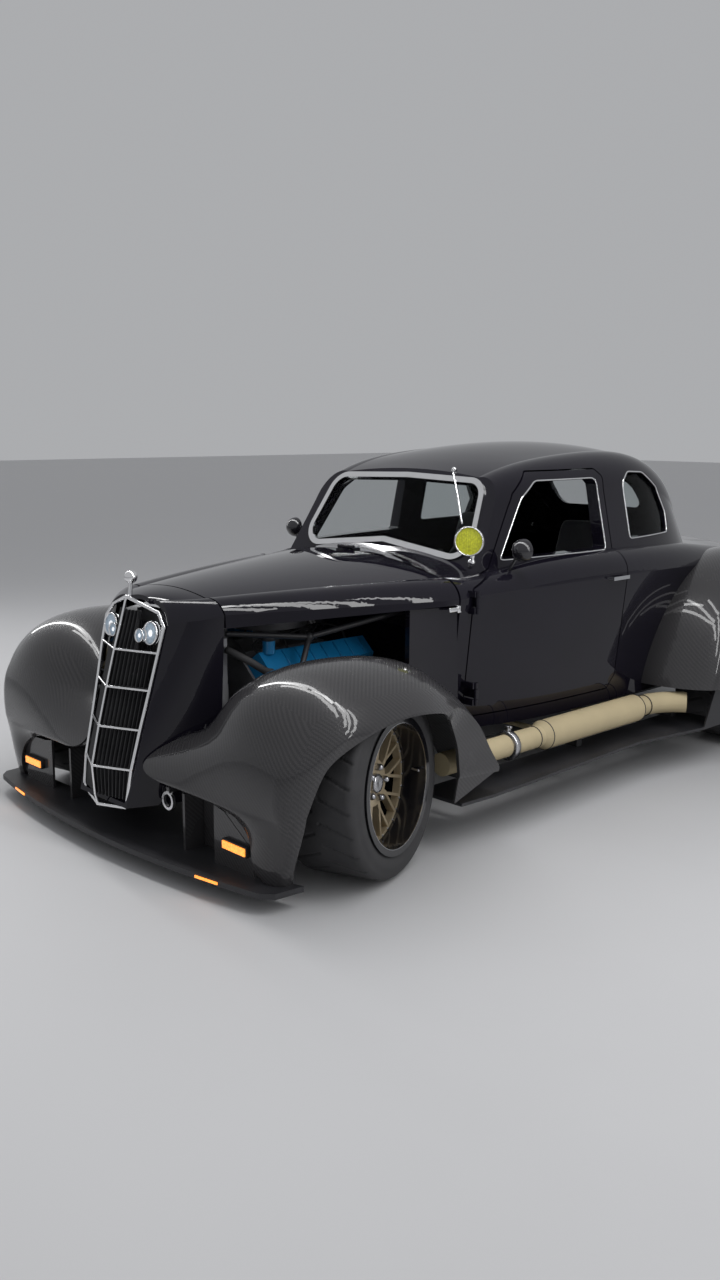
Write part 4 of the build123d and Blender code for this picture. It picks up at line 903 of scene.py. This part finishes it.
def make_headlamp(side, name, x, y, z, radius):
    """Plated ring and bowl, a lit disc with flutes, and the bulb's bright middle."""
    place = along((side * x, y, z), LAMP_WAY)
    shape = bmesh.new()
    spun(shape, [(depth, share * radius) for depth, share in LAMP_RING], 56, place, closed=True)
    spun(shape, [(depth, share * radius) for depth, share in LAMP_BOWL], 56, place)
    piece(f"{name}_bowl", shape, "bright")
    shape = bmesh.new()
    spun(shape, [(depth, share * radius) for depth, share in LAMP_FACE] + [LAMP_FACE_TIP], 56, place)
    for i in range(-4, 5):
        offset = FLUTE_PITCH * i
        half = sqrt(FLUTE_REACH ** 2 - offset ** 2) * radius
        slab(shape, (0.0016, 0.03 * radius, 2.0 * half), place @ at(-0.0022, offset * radius, 0.0), 0.0004, 1)
    lit = piece(f"{name}_lens", shape, "lamp_face")
    shape = bmesh.new()
    bulb = [(depth * radius, share * radius) for depth, share in LAMP_BULB]
    spun(shape, bulb, 32, place @ at(-0.0012, 0.0, 0.0))
    piece(f"{name}_bulb", shape, "white_lamp")
    return lit


def make_lamps():
    """Headlamps in the grille, and the finish of the small lamps."""
    for side, word in SIDES:
        for name, *where in LAMPS:
            make_headlamp(side, f"{name}_{word}", *where)
    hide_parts("headlamps")
    dress("amber", "marker_lamps")
    dress("red_lamp", "tail_lamps")


def cushion(name, size, place, crown, seams, material):
    """Crowned pad with pulled in sides and sewn channels across its top."""
    shape = bmesh.new()
    grid = {}
    for axis in range(3):
        u, v = [a for a in range(3) if a != axis]
        for end in (0, PAD_STEPS[axis]):
            for i in range(PAD_STEPS[u]):
                for j in range(PAD_STEPS[v]):
                    corners = []
                    for di, dj in ((0, 0), (1, 0), (1, 1), (0, 1)):
                        key = [end, end, end]
                        key[u], key[v] = i + di, j + dj
                        key = tuple(key)
                        if key not in grid:
                            grid[key] = shape.verts.new([2.0 * k / n - 1.0 for k, n in zip(key, PAD_STEPS)])
                        corners.append(grid[key])
                    shape.faces.new(corners)
    for vert in shape.verts:
        x, y, z = vert.co
        pull = 1.0 - SIDE_PULL * (1.0 - z * z) - CORNER_PULL * abs(x * y) ** 4
        if z > 0:
            dome = sqrt(max(1.0 - x * x, 0.0) * max(1.0 - y * y, 0.0))
            seam = max([0.0] + [1.0 - abs(x - middle) / SEAM_WIDTH for middle in seams])
            fade = max((1.0 - abs(x) ** 6) * (1.0 - abs(y) ** 6), 0.0)
            z = z * (1.0 - crown * (1.0 - dome)) - SEAM_DEPTH * seam * fade
        vert.co = (0.5 * x * pull * size[0], 0.5 * y * pull * size[1], 0.5 * z * size[2])
    bmesh.ops.transform(shape, matrix=place, verts=shape.verts)
    made = piece(name, shape, material)
    return made


def bolsters(name, side, word, size, place, offset):
    """The inner and the outer bolster of a seat pad."""
    for edge in (-1, 1):
        end = "in" if edge * side < 0 else "out"
        cushion(f"{name}_{word}_{end}", size, place @ at(edge * offset, 0.0, 0.0), 0.35, (), "leather")


def back_frame(x, bottom, top):
    """Frame of a seat back pad and its length: X across, Y up the back and Z out of its front."""
    low, high = Vector((x, *bottom)), Vector((x, *top))
    up = (high - low).normalized()
    across = Vector((1.0, 0.0, 0.0))
    turn = Matrix((across, up, across.cross(up))).transposed()
    return Matrix.Translation((low + high) / 2.0) @ turn.to_4x4(), (high - low).length


def make_seats():
    """Two bucket seats, each a base, a back, their bolsters and a head rest."""
    for side, word in SIDES:
        x = side * SEAT_X
        size = (0.34, 0.48, 0.135)
        cushion(f"seat_base_{word}", size, at(x, 0.0, BASE_HEIGHT), 0.20, (-0.6, -0.2, 0.2, 0.6), "cloth")
        bolsters("seat_bolster", side, word, (0.075, 0.46, 0.15), at(x, 0.0, BOLSTER_HEIGHT), BASE_BOLSTER_X)
    for side, word in SIDES:
        x = side * SEAT_X
        place, length = back_frame(x, BACK_FOOT, BACK_TOP)
        cushion(f"seat_back_{word}", (0.33, length, 0.085), place, 0.22, (-0.5, 0.0, 0.5), "cloth")
        bolsters("back_bolster", side, word, (0.072, length, 0.105), place, BACK_BOLSTER_X)
        place, length = back_frame(x, HEAD_FOOT, HEAD_TOP)
        cushion(f"head_rest_{word}", (0.26, 0.208, 0.075), place, 0.30, (), "leather")
    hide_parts("seats")


def make_cabin():
    """Seats, dials and the finish of the dashboard and the steering."""
    make_seats()
    dress("leather", "steering_wheel")
    dress("frame_black", "steering_column")
    dress("gloss_black", "dashboard")
    rims = bmesh.new()
    faces = bmesh.new()
    for x, radius in DIALS:
        place = along((x, DIAL_Y, DIAL_Z), (0.0, 1.0, 0.25))
        spun(rims, [(0.0, radius), (0.008, radius), (0.010, 0.93 * radius), (0.006, 0.88 * radius)], 40, place)
        spun(faces, [(0.0, 0.86 * radius), (0.005, 0.86 * radius), (0.006, 0.002)], 40, place)
    piece("dial_rims", rims, "bright")
    piece("dial_faces", faces, "satin_black")


def make_hoses():
    """Radiator and heater hoses, and the wires to the valve covers."""
    shape = bmesh.new()
    for radius, sides, points in HOSES:
        tube(shape, smooth_path(points), radius, sides)
    for side in (-1, 1):
        for i in range(CYLINDERS):
            y = -1.46 + CYLINDER_PITCH * i
            wire = [
                (side * 0.245, y, 0.672),
                (side * 0.19, y + 0.01, 0.735),
                (side * 0.10, -1.05, 0.745),
                (side * 0.05, -1.0, 0.70),
            ]
            tube(shape, smooth_path(wire, 5), WIRE_RADIUS, 8)
    piece("engine_hoses", shape, "tyre")


def make_headers():
    """Four pipes down each side of the engine."""
    shape = bmesh.new()
    for side in (-1, 1):
        for i in range(CYLINDERS):
            y = -1.45 + CYLINDER_PITCH * i
            pipe = [
                (side * 0.285, y, 0.565),
                (side * 0.350, y, 0.540),
                (side * 0.385, y + 0.04, 0.470),
                (side * 0.395, -1.02 - 0.02 * i, 0.360),
                (side * 0.400, -0.97, 0.330),
            ]
            tube(shape, smooth_path(pipe), HEADER_RADIUS, 14)
    piece("headers", shape, "sand_coat")


def make_engine_details():
    """Finish of the engine, with hoses, headers, caps, belt wheels, cover ribs and radiator fins."""
    dress("cast", "engine")
    dress("engine_blue", "valve_covers")
    dress("alloy", "radiator")
    dress("satin_black", "engine_braces")
    make_hoses()
    make_headers()
    caps = bmesh.new()
    for side in (-1, 1):
        spun(caps, OIL_CAP, 24, at(side * 0.290, -1.470, 0.752) @ Matrix.Rotation(-pi / 2, 4, "Y"))
    for z, radius, ahead in PULLEYS:
        groove = radius - 0.012
        wheel = [(0.0, radius), (0.006, groove), (0.018, groove), (0.024, radius), (0.028, radius)]
        wheel.append((0.030, 0.012))
        spun(caps, wheel, 32, along((0.0, BLOCK_FRONT_Y - ahead, z), (0.0, -1.0, 0.0)))
    piece("caps_pulleys", caps, "dark_metal")
    ribs = bmesh.new()
    x, y, z = COVER_MIDDLE
    for side in (-1, 1):
        cover = at(side * x, y, z) @ Matrix.Rotation(side * COVER_TILT, 4, "Y")
        for i in range(COVER_RIBS):
            slab(ribs, (0.074, 0.008, 0.007), cover @ at(0.0, -0.16 + 0.065 * i, 0.0735), 0.002)
        for i in range(CYLINDERS):
            for edge in (-1, 1):
                foot = cover @ at(edge * 0.055, -0.22 + CYLINDER_PITCH * i, 0.006)
                slab(ribs, (0.012, 0.030, 0.006), foot, 0.002)
    piece("cover_ribs", ribs, "engine_blue")
    fins = bmesh.new()
    for i in range(FIN_COUNT):
        slab(fins, (0.012, 0.006, 0.50), at(-0.23 + FIN_PITCH * i, -1.697, 0.545), 0.001, 1)
    piece("radiator_fins", fins, "dark_metal")


def make_exhaust_details():
    """Finish, band clamps and weld beads of the side pipes."""
    dress("sand_coat", "exhausts")
    bands = bmesh.new()
    beads = bmesh.new()
    for side in (-1, 1):
        x = side * EXHAUST_X
        spun(bands, BAND_CLAMP, 48, along((x, CLAMP_Y - 0.016, EXHAUST_Z), (0.0, 1.0, 0.0)))
        slab(bands, (0.016, 0.020, 0.030), at(x, CLAMP_Y, EXHAUST_Z + 0.065), 0.003)
        slab(bands, (0.034, 0.014, 0.010), at(x, CLAMP_Y, EXHAUST_Z + 0.075), 0.003)
        for y, radius in WELDS:
            ring = []
            for k in range(WELD_STEPS + 1):
                turn = 2.0 * pi * k / WELD_STEPS
                ring.append((x + radius * cos(turn), y + WELD_WAVE * (k % 2), EXHAUST_Z + radius * sin(turn)))
            tube(beads, ring, WELD_RADIUS, 6)
    piece("band_clamps", bands, "steel")
    piece("weld_beads", beads, "dark_metal")


def make_spot_lamp():
    """Round yellow driving lamp on its post beside the windscreen."""
    spot = along(SPOT_POINT, SPOT_WAY)
    lens = bmesh.new()
    dome = [(-0.008, SPOT_RADIUS), (-0.004, SPOT_RADIUS)]
    for i in range(1, 10):
        share = 1.0 - i / 10.0
        dome.append((-0.004 + 0.0035 * (1.0 - share ** 2), SPOT_RADIUS * share))
    spun(lens, dome + [(-0.0005, 0.001)], 64, spot)
    for i in range(-5, 6):
        offset = SPOT_FLUTE_PITCH * i
        half = sqrt(SPOT_FLUTE_REACH ** 2 - offset ** 2)
        slab(lens, (0.0014, 0.0022, 2.0 * half), spot @ at(-0.0004, offset, 0.0), 0.0005, 1)
    made = piece("spot_lamp_lens", lens, "yellow_lamp")
    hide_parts("spot_lamp")
    shell = bmesh.new()
    spun(shell, SPOT_RIM, 64, spot, closed=True)
    spun(shell, SPOT_BOWL, 64, spot)
    tube(shell, SPOT_POST, SPOT_POST_RADIUS, 16)
    for point, radius in SPOT_JOINTS:
        turns = [pi * k / 10.0 for k in range(11)]
        spun(shell, [(-radius * cos(turn), max(radius * sin(turn), 0.0004)) for turn in turns], 24, at(*point))
    piece("spot_lamp_shell", shell, "bright")


def window_bead(name, side, outline, panel, body):
    """Bright bead laid on a packed panel around a window opening."""
    inward = Vector((-side, 0.0, 0.0))
    path = []
    for y, z in rounded(outline, BEAD_CORNER):
        found, point, normal, face = NODES[panel].ray_cast(Vector((side * 2.0, y, z)), inward)
        if not found:
            raise RuntimeError(f"{name} misses {panel} at y {y:.3f}, z {z:.3f}")
        path.append(point)
    shape = bmesh.new()
    tube(shape, path, BEAD_SIZE, 8, closed=True)
    piece(name, shape, "bright", body=body)


def make_trim():
    """Finish of the trim and glass, with the wiper, window beads, mirror glass, spot lamp and latches."""
    dress("bright", "grille_trim", "windscreen_trim")
    dress("door_furniture", "door_trim_left", "door_trim_right")
    dress("grille_black", "grille_slats")
    dress("clear_glass", "windscreen", "cab_windows")
    wiper = bmesh.new()
    tube(wiper, WIPER_PIVOT, 0.010, 16)
    tube(wiper, smooth_path(WIPER_ARM), [0.0045] * 12 + [0.003], 8)
    piece("wiper_arm", wiper, "bright")
    x, y, z = MIRROR_GLASS_POINT
    for side, word in SIDES:
        window_bead(f"door_bead_{word}", side, DOOR_WINDOW, f"door_{word}", f"door_{word}")
        window_bead(f"quarter_bead_{word}", side, QUARTER_WINDOW, "body_shell", "chassis")
        glass = bmesh.new()
        spun(glass, MIRROR_GLASS, 40, along((side * x, y, z), (0.0, 1.0, 0.0)))
        piece(f"mirror_glass_{word}", glass, "bright", body=f"door_{word}")
    make_spot_lamp()
    latch = bmesh.new()
    for side in (-1, 1):
        slab(latch, (0.008, 0.060, 0.018), at(side * LATCH_X, -0.838, LATCH_Z), 0.003)
        slab(latch, (0.012, 0.022, 0.030), at(side * LATCH_X, -0.812, LATCH_Z), 0.003)
    piece("hood_latches", latch, "bright")


def dress_body():
    """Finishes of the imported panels."""
    dress("gloss_black", "body_shell", "hood", "door_left", "door_right", "deck_lid", "nose_shell")
    dress("carbon", "front_fenders", "rear_fenders")
    dress("valance_carbon", "valance")
    dress("satin_black", "splitter", "side_skirts", "wheelhouses")
    dress("frame_black", "chassis_frame", "front_suspension")
    dress("cast", "rear_axle", "knuckle_left", "knuckle_right")


def make_front_details():
    """Corner plates between valance and fenders, lamp rims and the edge lamps of the splitter."""
    corners = bmesh.new()
    rims = bmesh.new()
    lamps = bmesh.new()
    x, y, z = LAMP_RIM
    edge_x, edge_y, edge_z = EDGE_LAMP
    for side in (-1, 1):
        plate(corners, [(side * across, up) for across, up in VALANCE_CORNER], *CORNER_PLANES)
        for dz in (-0.016, 0.016):
            slab(rims, (0.128, 0.016, 0.005), at(side * x, y, z + dz), 0.001)
        for dx in (-0.063, 0.063):
            slab(rims, (0.005, 0.016, 0.037), at(side * x + dx, y, z), 0.001)
        edge = at(side * edge_x, edge_y, edge_z) @ Matrix.Rotation(side * EDGE_LAMP_TURN, 4, "Z")
        slab(lamps, (0.105, 0.006, 0.009), edge, 0.001)
    piece("valance_corners", corners, "carbon", smooth=False)
    piece("lamp_rims", rims, "satin_black")
    piece("edge_lamps", lamps, "amber")


def make_camera(stage):
    """Camera at the photograph's viewpoint."""
    level = cos(CAMERA_PITCH)
    ahead = Vector((-sin(CAMERA_YAW) * level, cos(CAMERA_YAW) * level, -sin(CAMERA_PITCH)))
    right = Vector((cos(CAMERA_YAW), sin(CAMERA_YAW), 0.0))
    up = right.cross(ahead)
    side = right * cos(CAMERA_ROLL) + up * sin(CAMERA_ROLL)
    top = up * cos(CAMERA_ROLL) - right * sin(CAMERA_ROLL)
    lens = bpy.data.cameras.new("photo_camera")
    lens.lens = stage.focal_length
    lens.sensor_width = SENSOR_WIDTH
    camera = show(bpy.data.objects.new("photo_camera", lens))
    camera.matrix_world = at(*CAMERA_PLACE) @ Matrix((side, top, -ahead)).transposed().to_4x4()
    bpy.context.scene.camera = camera


def make_floor(stage):
    """Wide flat floor under the wheels."""
    mesh = bpy.data.meshes.new("studio_floor")
    corners = [(x * FLOOR_REACH, y * FLOOR_REACH, 0.0) for x, y in ((-1, -1), (1, -1), (1, 1), (-1, 1))]
    mesh.from_pydata(corners, [], [(0, 1, 2, 3)])
    ground = show(bpy.data.objects.new("studio_floor", mesh))
    mesh.materials.append(studio_floor("studio_floor", tuple(stage.floor_colour)))


def make_lights(stage):
    """Pale world and long soft strips overhead."""
    world = bpy.data.worlds.new("studio_world")
    world.use_nodes = True
    background = world.node_tree.nodes["Background"]
    background.inputs["Color"].default_value = WORLD_COLOUR
    background.inputs["Strength"].default_value = WORLD_STRENGTH
    bpy.context.scene.world = world
    for i, (x, y, z) in enumerate(STRIPS):
        light = bpy.data.lights.new(f"strip_{i}", "AREA")
        light.shape = "RECTANGLE"
        light.size = STRIP_WIDTH
        light.size_y = STRIP_LENGTH
        light.energy = stage.lamp_power
        strip = show(bpy.data.objects.new(f"strip_{i}", light))
        aim = Vector(STRIP_AIM) - Vector((x, 0.0, z))
        strip.matrix_world = at(x, y, z) @ aim.to_track_quat("-Z", "Y").to_matrix().to_4x4()


# Operators

class COUPE_OT_stage(bpy.types.Operator):
    """Make the floor, the lights and the camera"""
    bl_idname = "coupe.stage"
    bl_label = "Studio and camera"

    def execute(self, context):
        context.scene.view_settings.view_transform = "Standard"
        make_camera(context.scene.coupe_stage)
        make_floor(context.scene.coupe_stage)
        make_lights(context.scene.coupe_stage)
        return {"FINISHED"}


class COUPE_OT_body(bpy.types.Operator):
    """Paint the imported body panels, fenders, frame and axles"""
    bl_idname = "coupe.body"
    bl_label = "Body finishes"

    def execute(self, context):
        dress_body()
        return {"FINISHED"}


class COUPE_OT_tyres(bpy.types.Operator):
    """Replace the plain tyres with slotted ones"""
    bl_idname = "coupe.tyres"
    bl_label = "Tyres"

    def execute(self, context):
        for corner, size, place in WHEELS:
            make_tyre(corner, size, place, context.scene.coupe_tread)
        return {"FINISHED"}


class COUPE_OT_wheels(bpy.types.Operator):
    """Finish the rims and add nuts, caps and bolts"""
    bl_idname = "coupe.wheels"
    bl_label = "Wheels"

    def execute(self, context):
        for corner, size, place in WHEELS:
            make_wheel_details(corner, size, place)
        return {"FINISHED"}


class COUPE_OT_lamps(bpy.types.Operator):
    """Make the headlamps and light the small lamps"""
    bl_idname = "coupe.lamps"
    bl_label = "Lamps"

    def execute(self, context):
        make_lamps()
        return {"FINISHED"}


class COUPE_OT_cabin(bpy.types.Operator):
    """Upholster the seats and finish the cabin"""
    bl_idname = "coupe.cabin"
    bl_label = "Cabin"

    def execute(self, context):
        make_cabin()
        return {"FINISHED"}


class COUPE_OT_engine(bpy.types.Operator):
    """Add hoses, headers, caps and ribs to the engine"""
    bl_idname = "coupe.engine"
    bl_label = "Engine"

    def execute(self, context):
        make_engine_details()
        return {"FINISHED"}


class COUPE_OT_exhaust(bpy.types.Operator):
    """Add clamps and welds to the side pipes"""
    bl_idname = "coupe.exhaust"
    bl_label = "Side exhausts"

    def execute(self, context):
        make_exhaust_details()
        return {"FINISHED"}


class COUPE_OT_front(bpy.types.Operator):
    """Add corner plates, lamp rims and edge lamps to the front"""
    bl_idname = "coupe.front"
    bl_label = "Front details"

    def execute(self, context):
        make_front_details()
        return {"FINISHED"}


class COUPE_OT_trim(bpy.types.Operator):
    """Finish the bright trim and add the wiper, window beads, mirror glass, spot lamp and latches"""
    bl_idname = "coupe.trim"
    bl_label = "Trim and glass"

    def execute(self, context):
        make_trim()
        return {"FINISHED"}


class COUPE_PT_panel(bpy.types.Panel):
    """Sidebar panel that lists the steps and settings"""
    bl_label = "Hot rod coupe"
    bl_idname = "COUPE_PT_panel"
    bl_space_type = "VIEW_3D"
    bl_region_type = "UI"
    bl_category = "Coupe"

    def draw(self, context):
        layout = self.layout
        for group in (context.scene.coupe_paint, context.scene.coupe_tread, context.scene.coupe_stage):
            for name in group.__annotations__:
                layout.prop(group, name)
        for step in STEPS:
            layout.operator(step.bl_idname)


GROUPS = (CoupePaint, CoupeTread, CoupeStage)
STEPS = (
    COUPE_OT_stage,
    COUPE_OT_body,
    COUPE_OT_tyres,
    COUPE_OT_wheels,
    COUPE_OT_lamps,
    COUPE_OT_cabin,
    COUPE_OT_engine,
    COUPE_OT_exhaust,
    COUPE_OT_front,
    COUPE_OT_trim,
)


def register():
    for kind in (*GROUPS, *STEPS, COUPE_PT_panel):
        bpy.utils.register_class(kind)
    bpy.types.Scene.coupe_paint = PointerProperty(type=CoupePaint)
    bpy.types.Scene.coupe_tread = PointerProperty(type=CoupeTread)
    bpy.types.Scene.coupe_stage = PointerProperty(type=CoupeStage)


def unregister():
    del bpy.types.Scene.coupe_stage
    del bpy.types.Scene.coupe_tread
    del bpy.types.Scene.coupe_paint
    for kind in (COUPE_PT_panel, *reversed(STEPS), *reversed(GROUPS)):
        bpy.utils.unregister_class(kind)


def main():
    register()
    bpy.ops.coupe.stage()
    bpy.ops.coupe.body()
    bpy.ops.coupe.tyres()
    bpy.ops.coupe.wheels()
    bpy.ops.coupe.lamps()
    bpy.ops.coupe.cabin()
    bpy.ops.coupe.engine()
    bpy.ops.coupe.exhaust()
    bpy.ops.coupe.front()
    bpy.ops.coupe.trim()


if __name__ == "__main__":
    main()
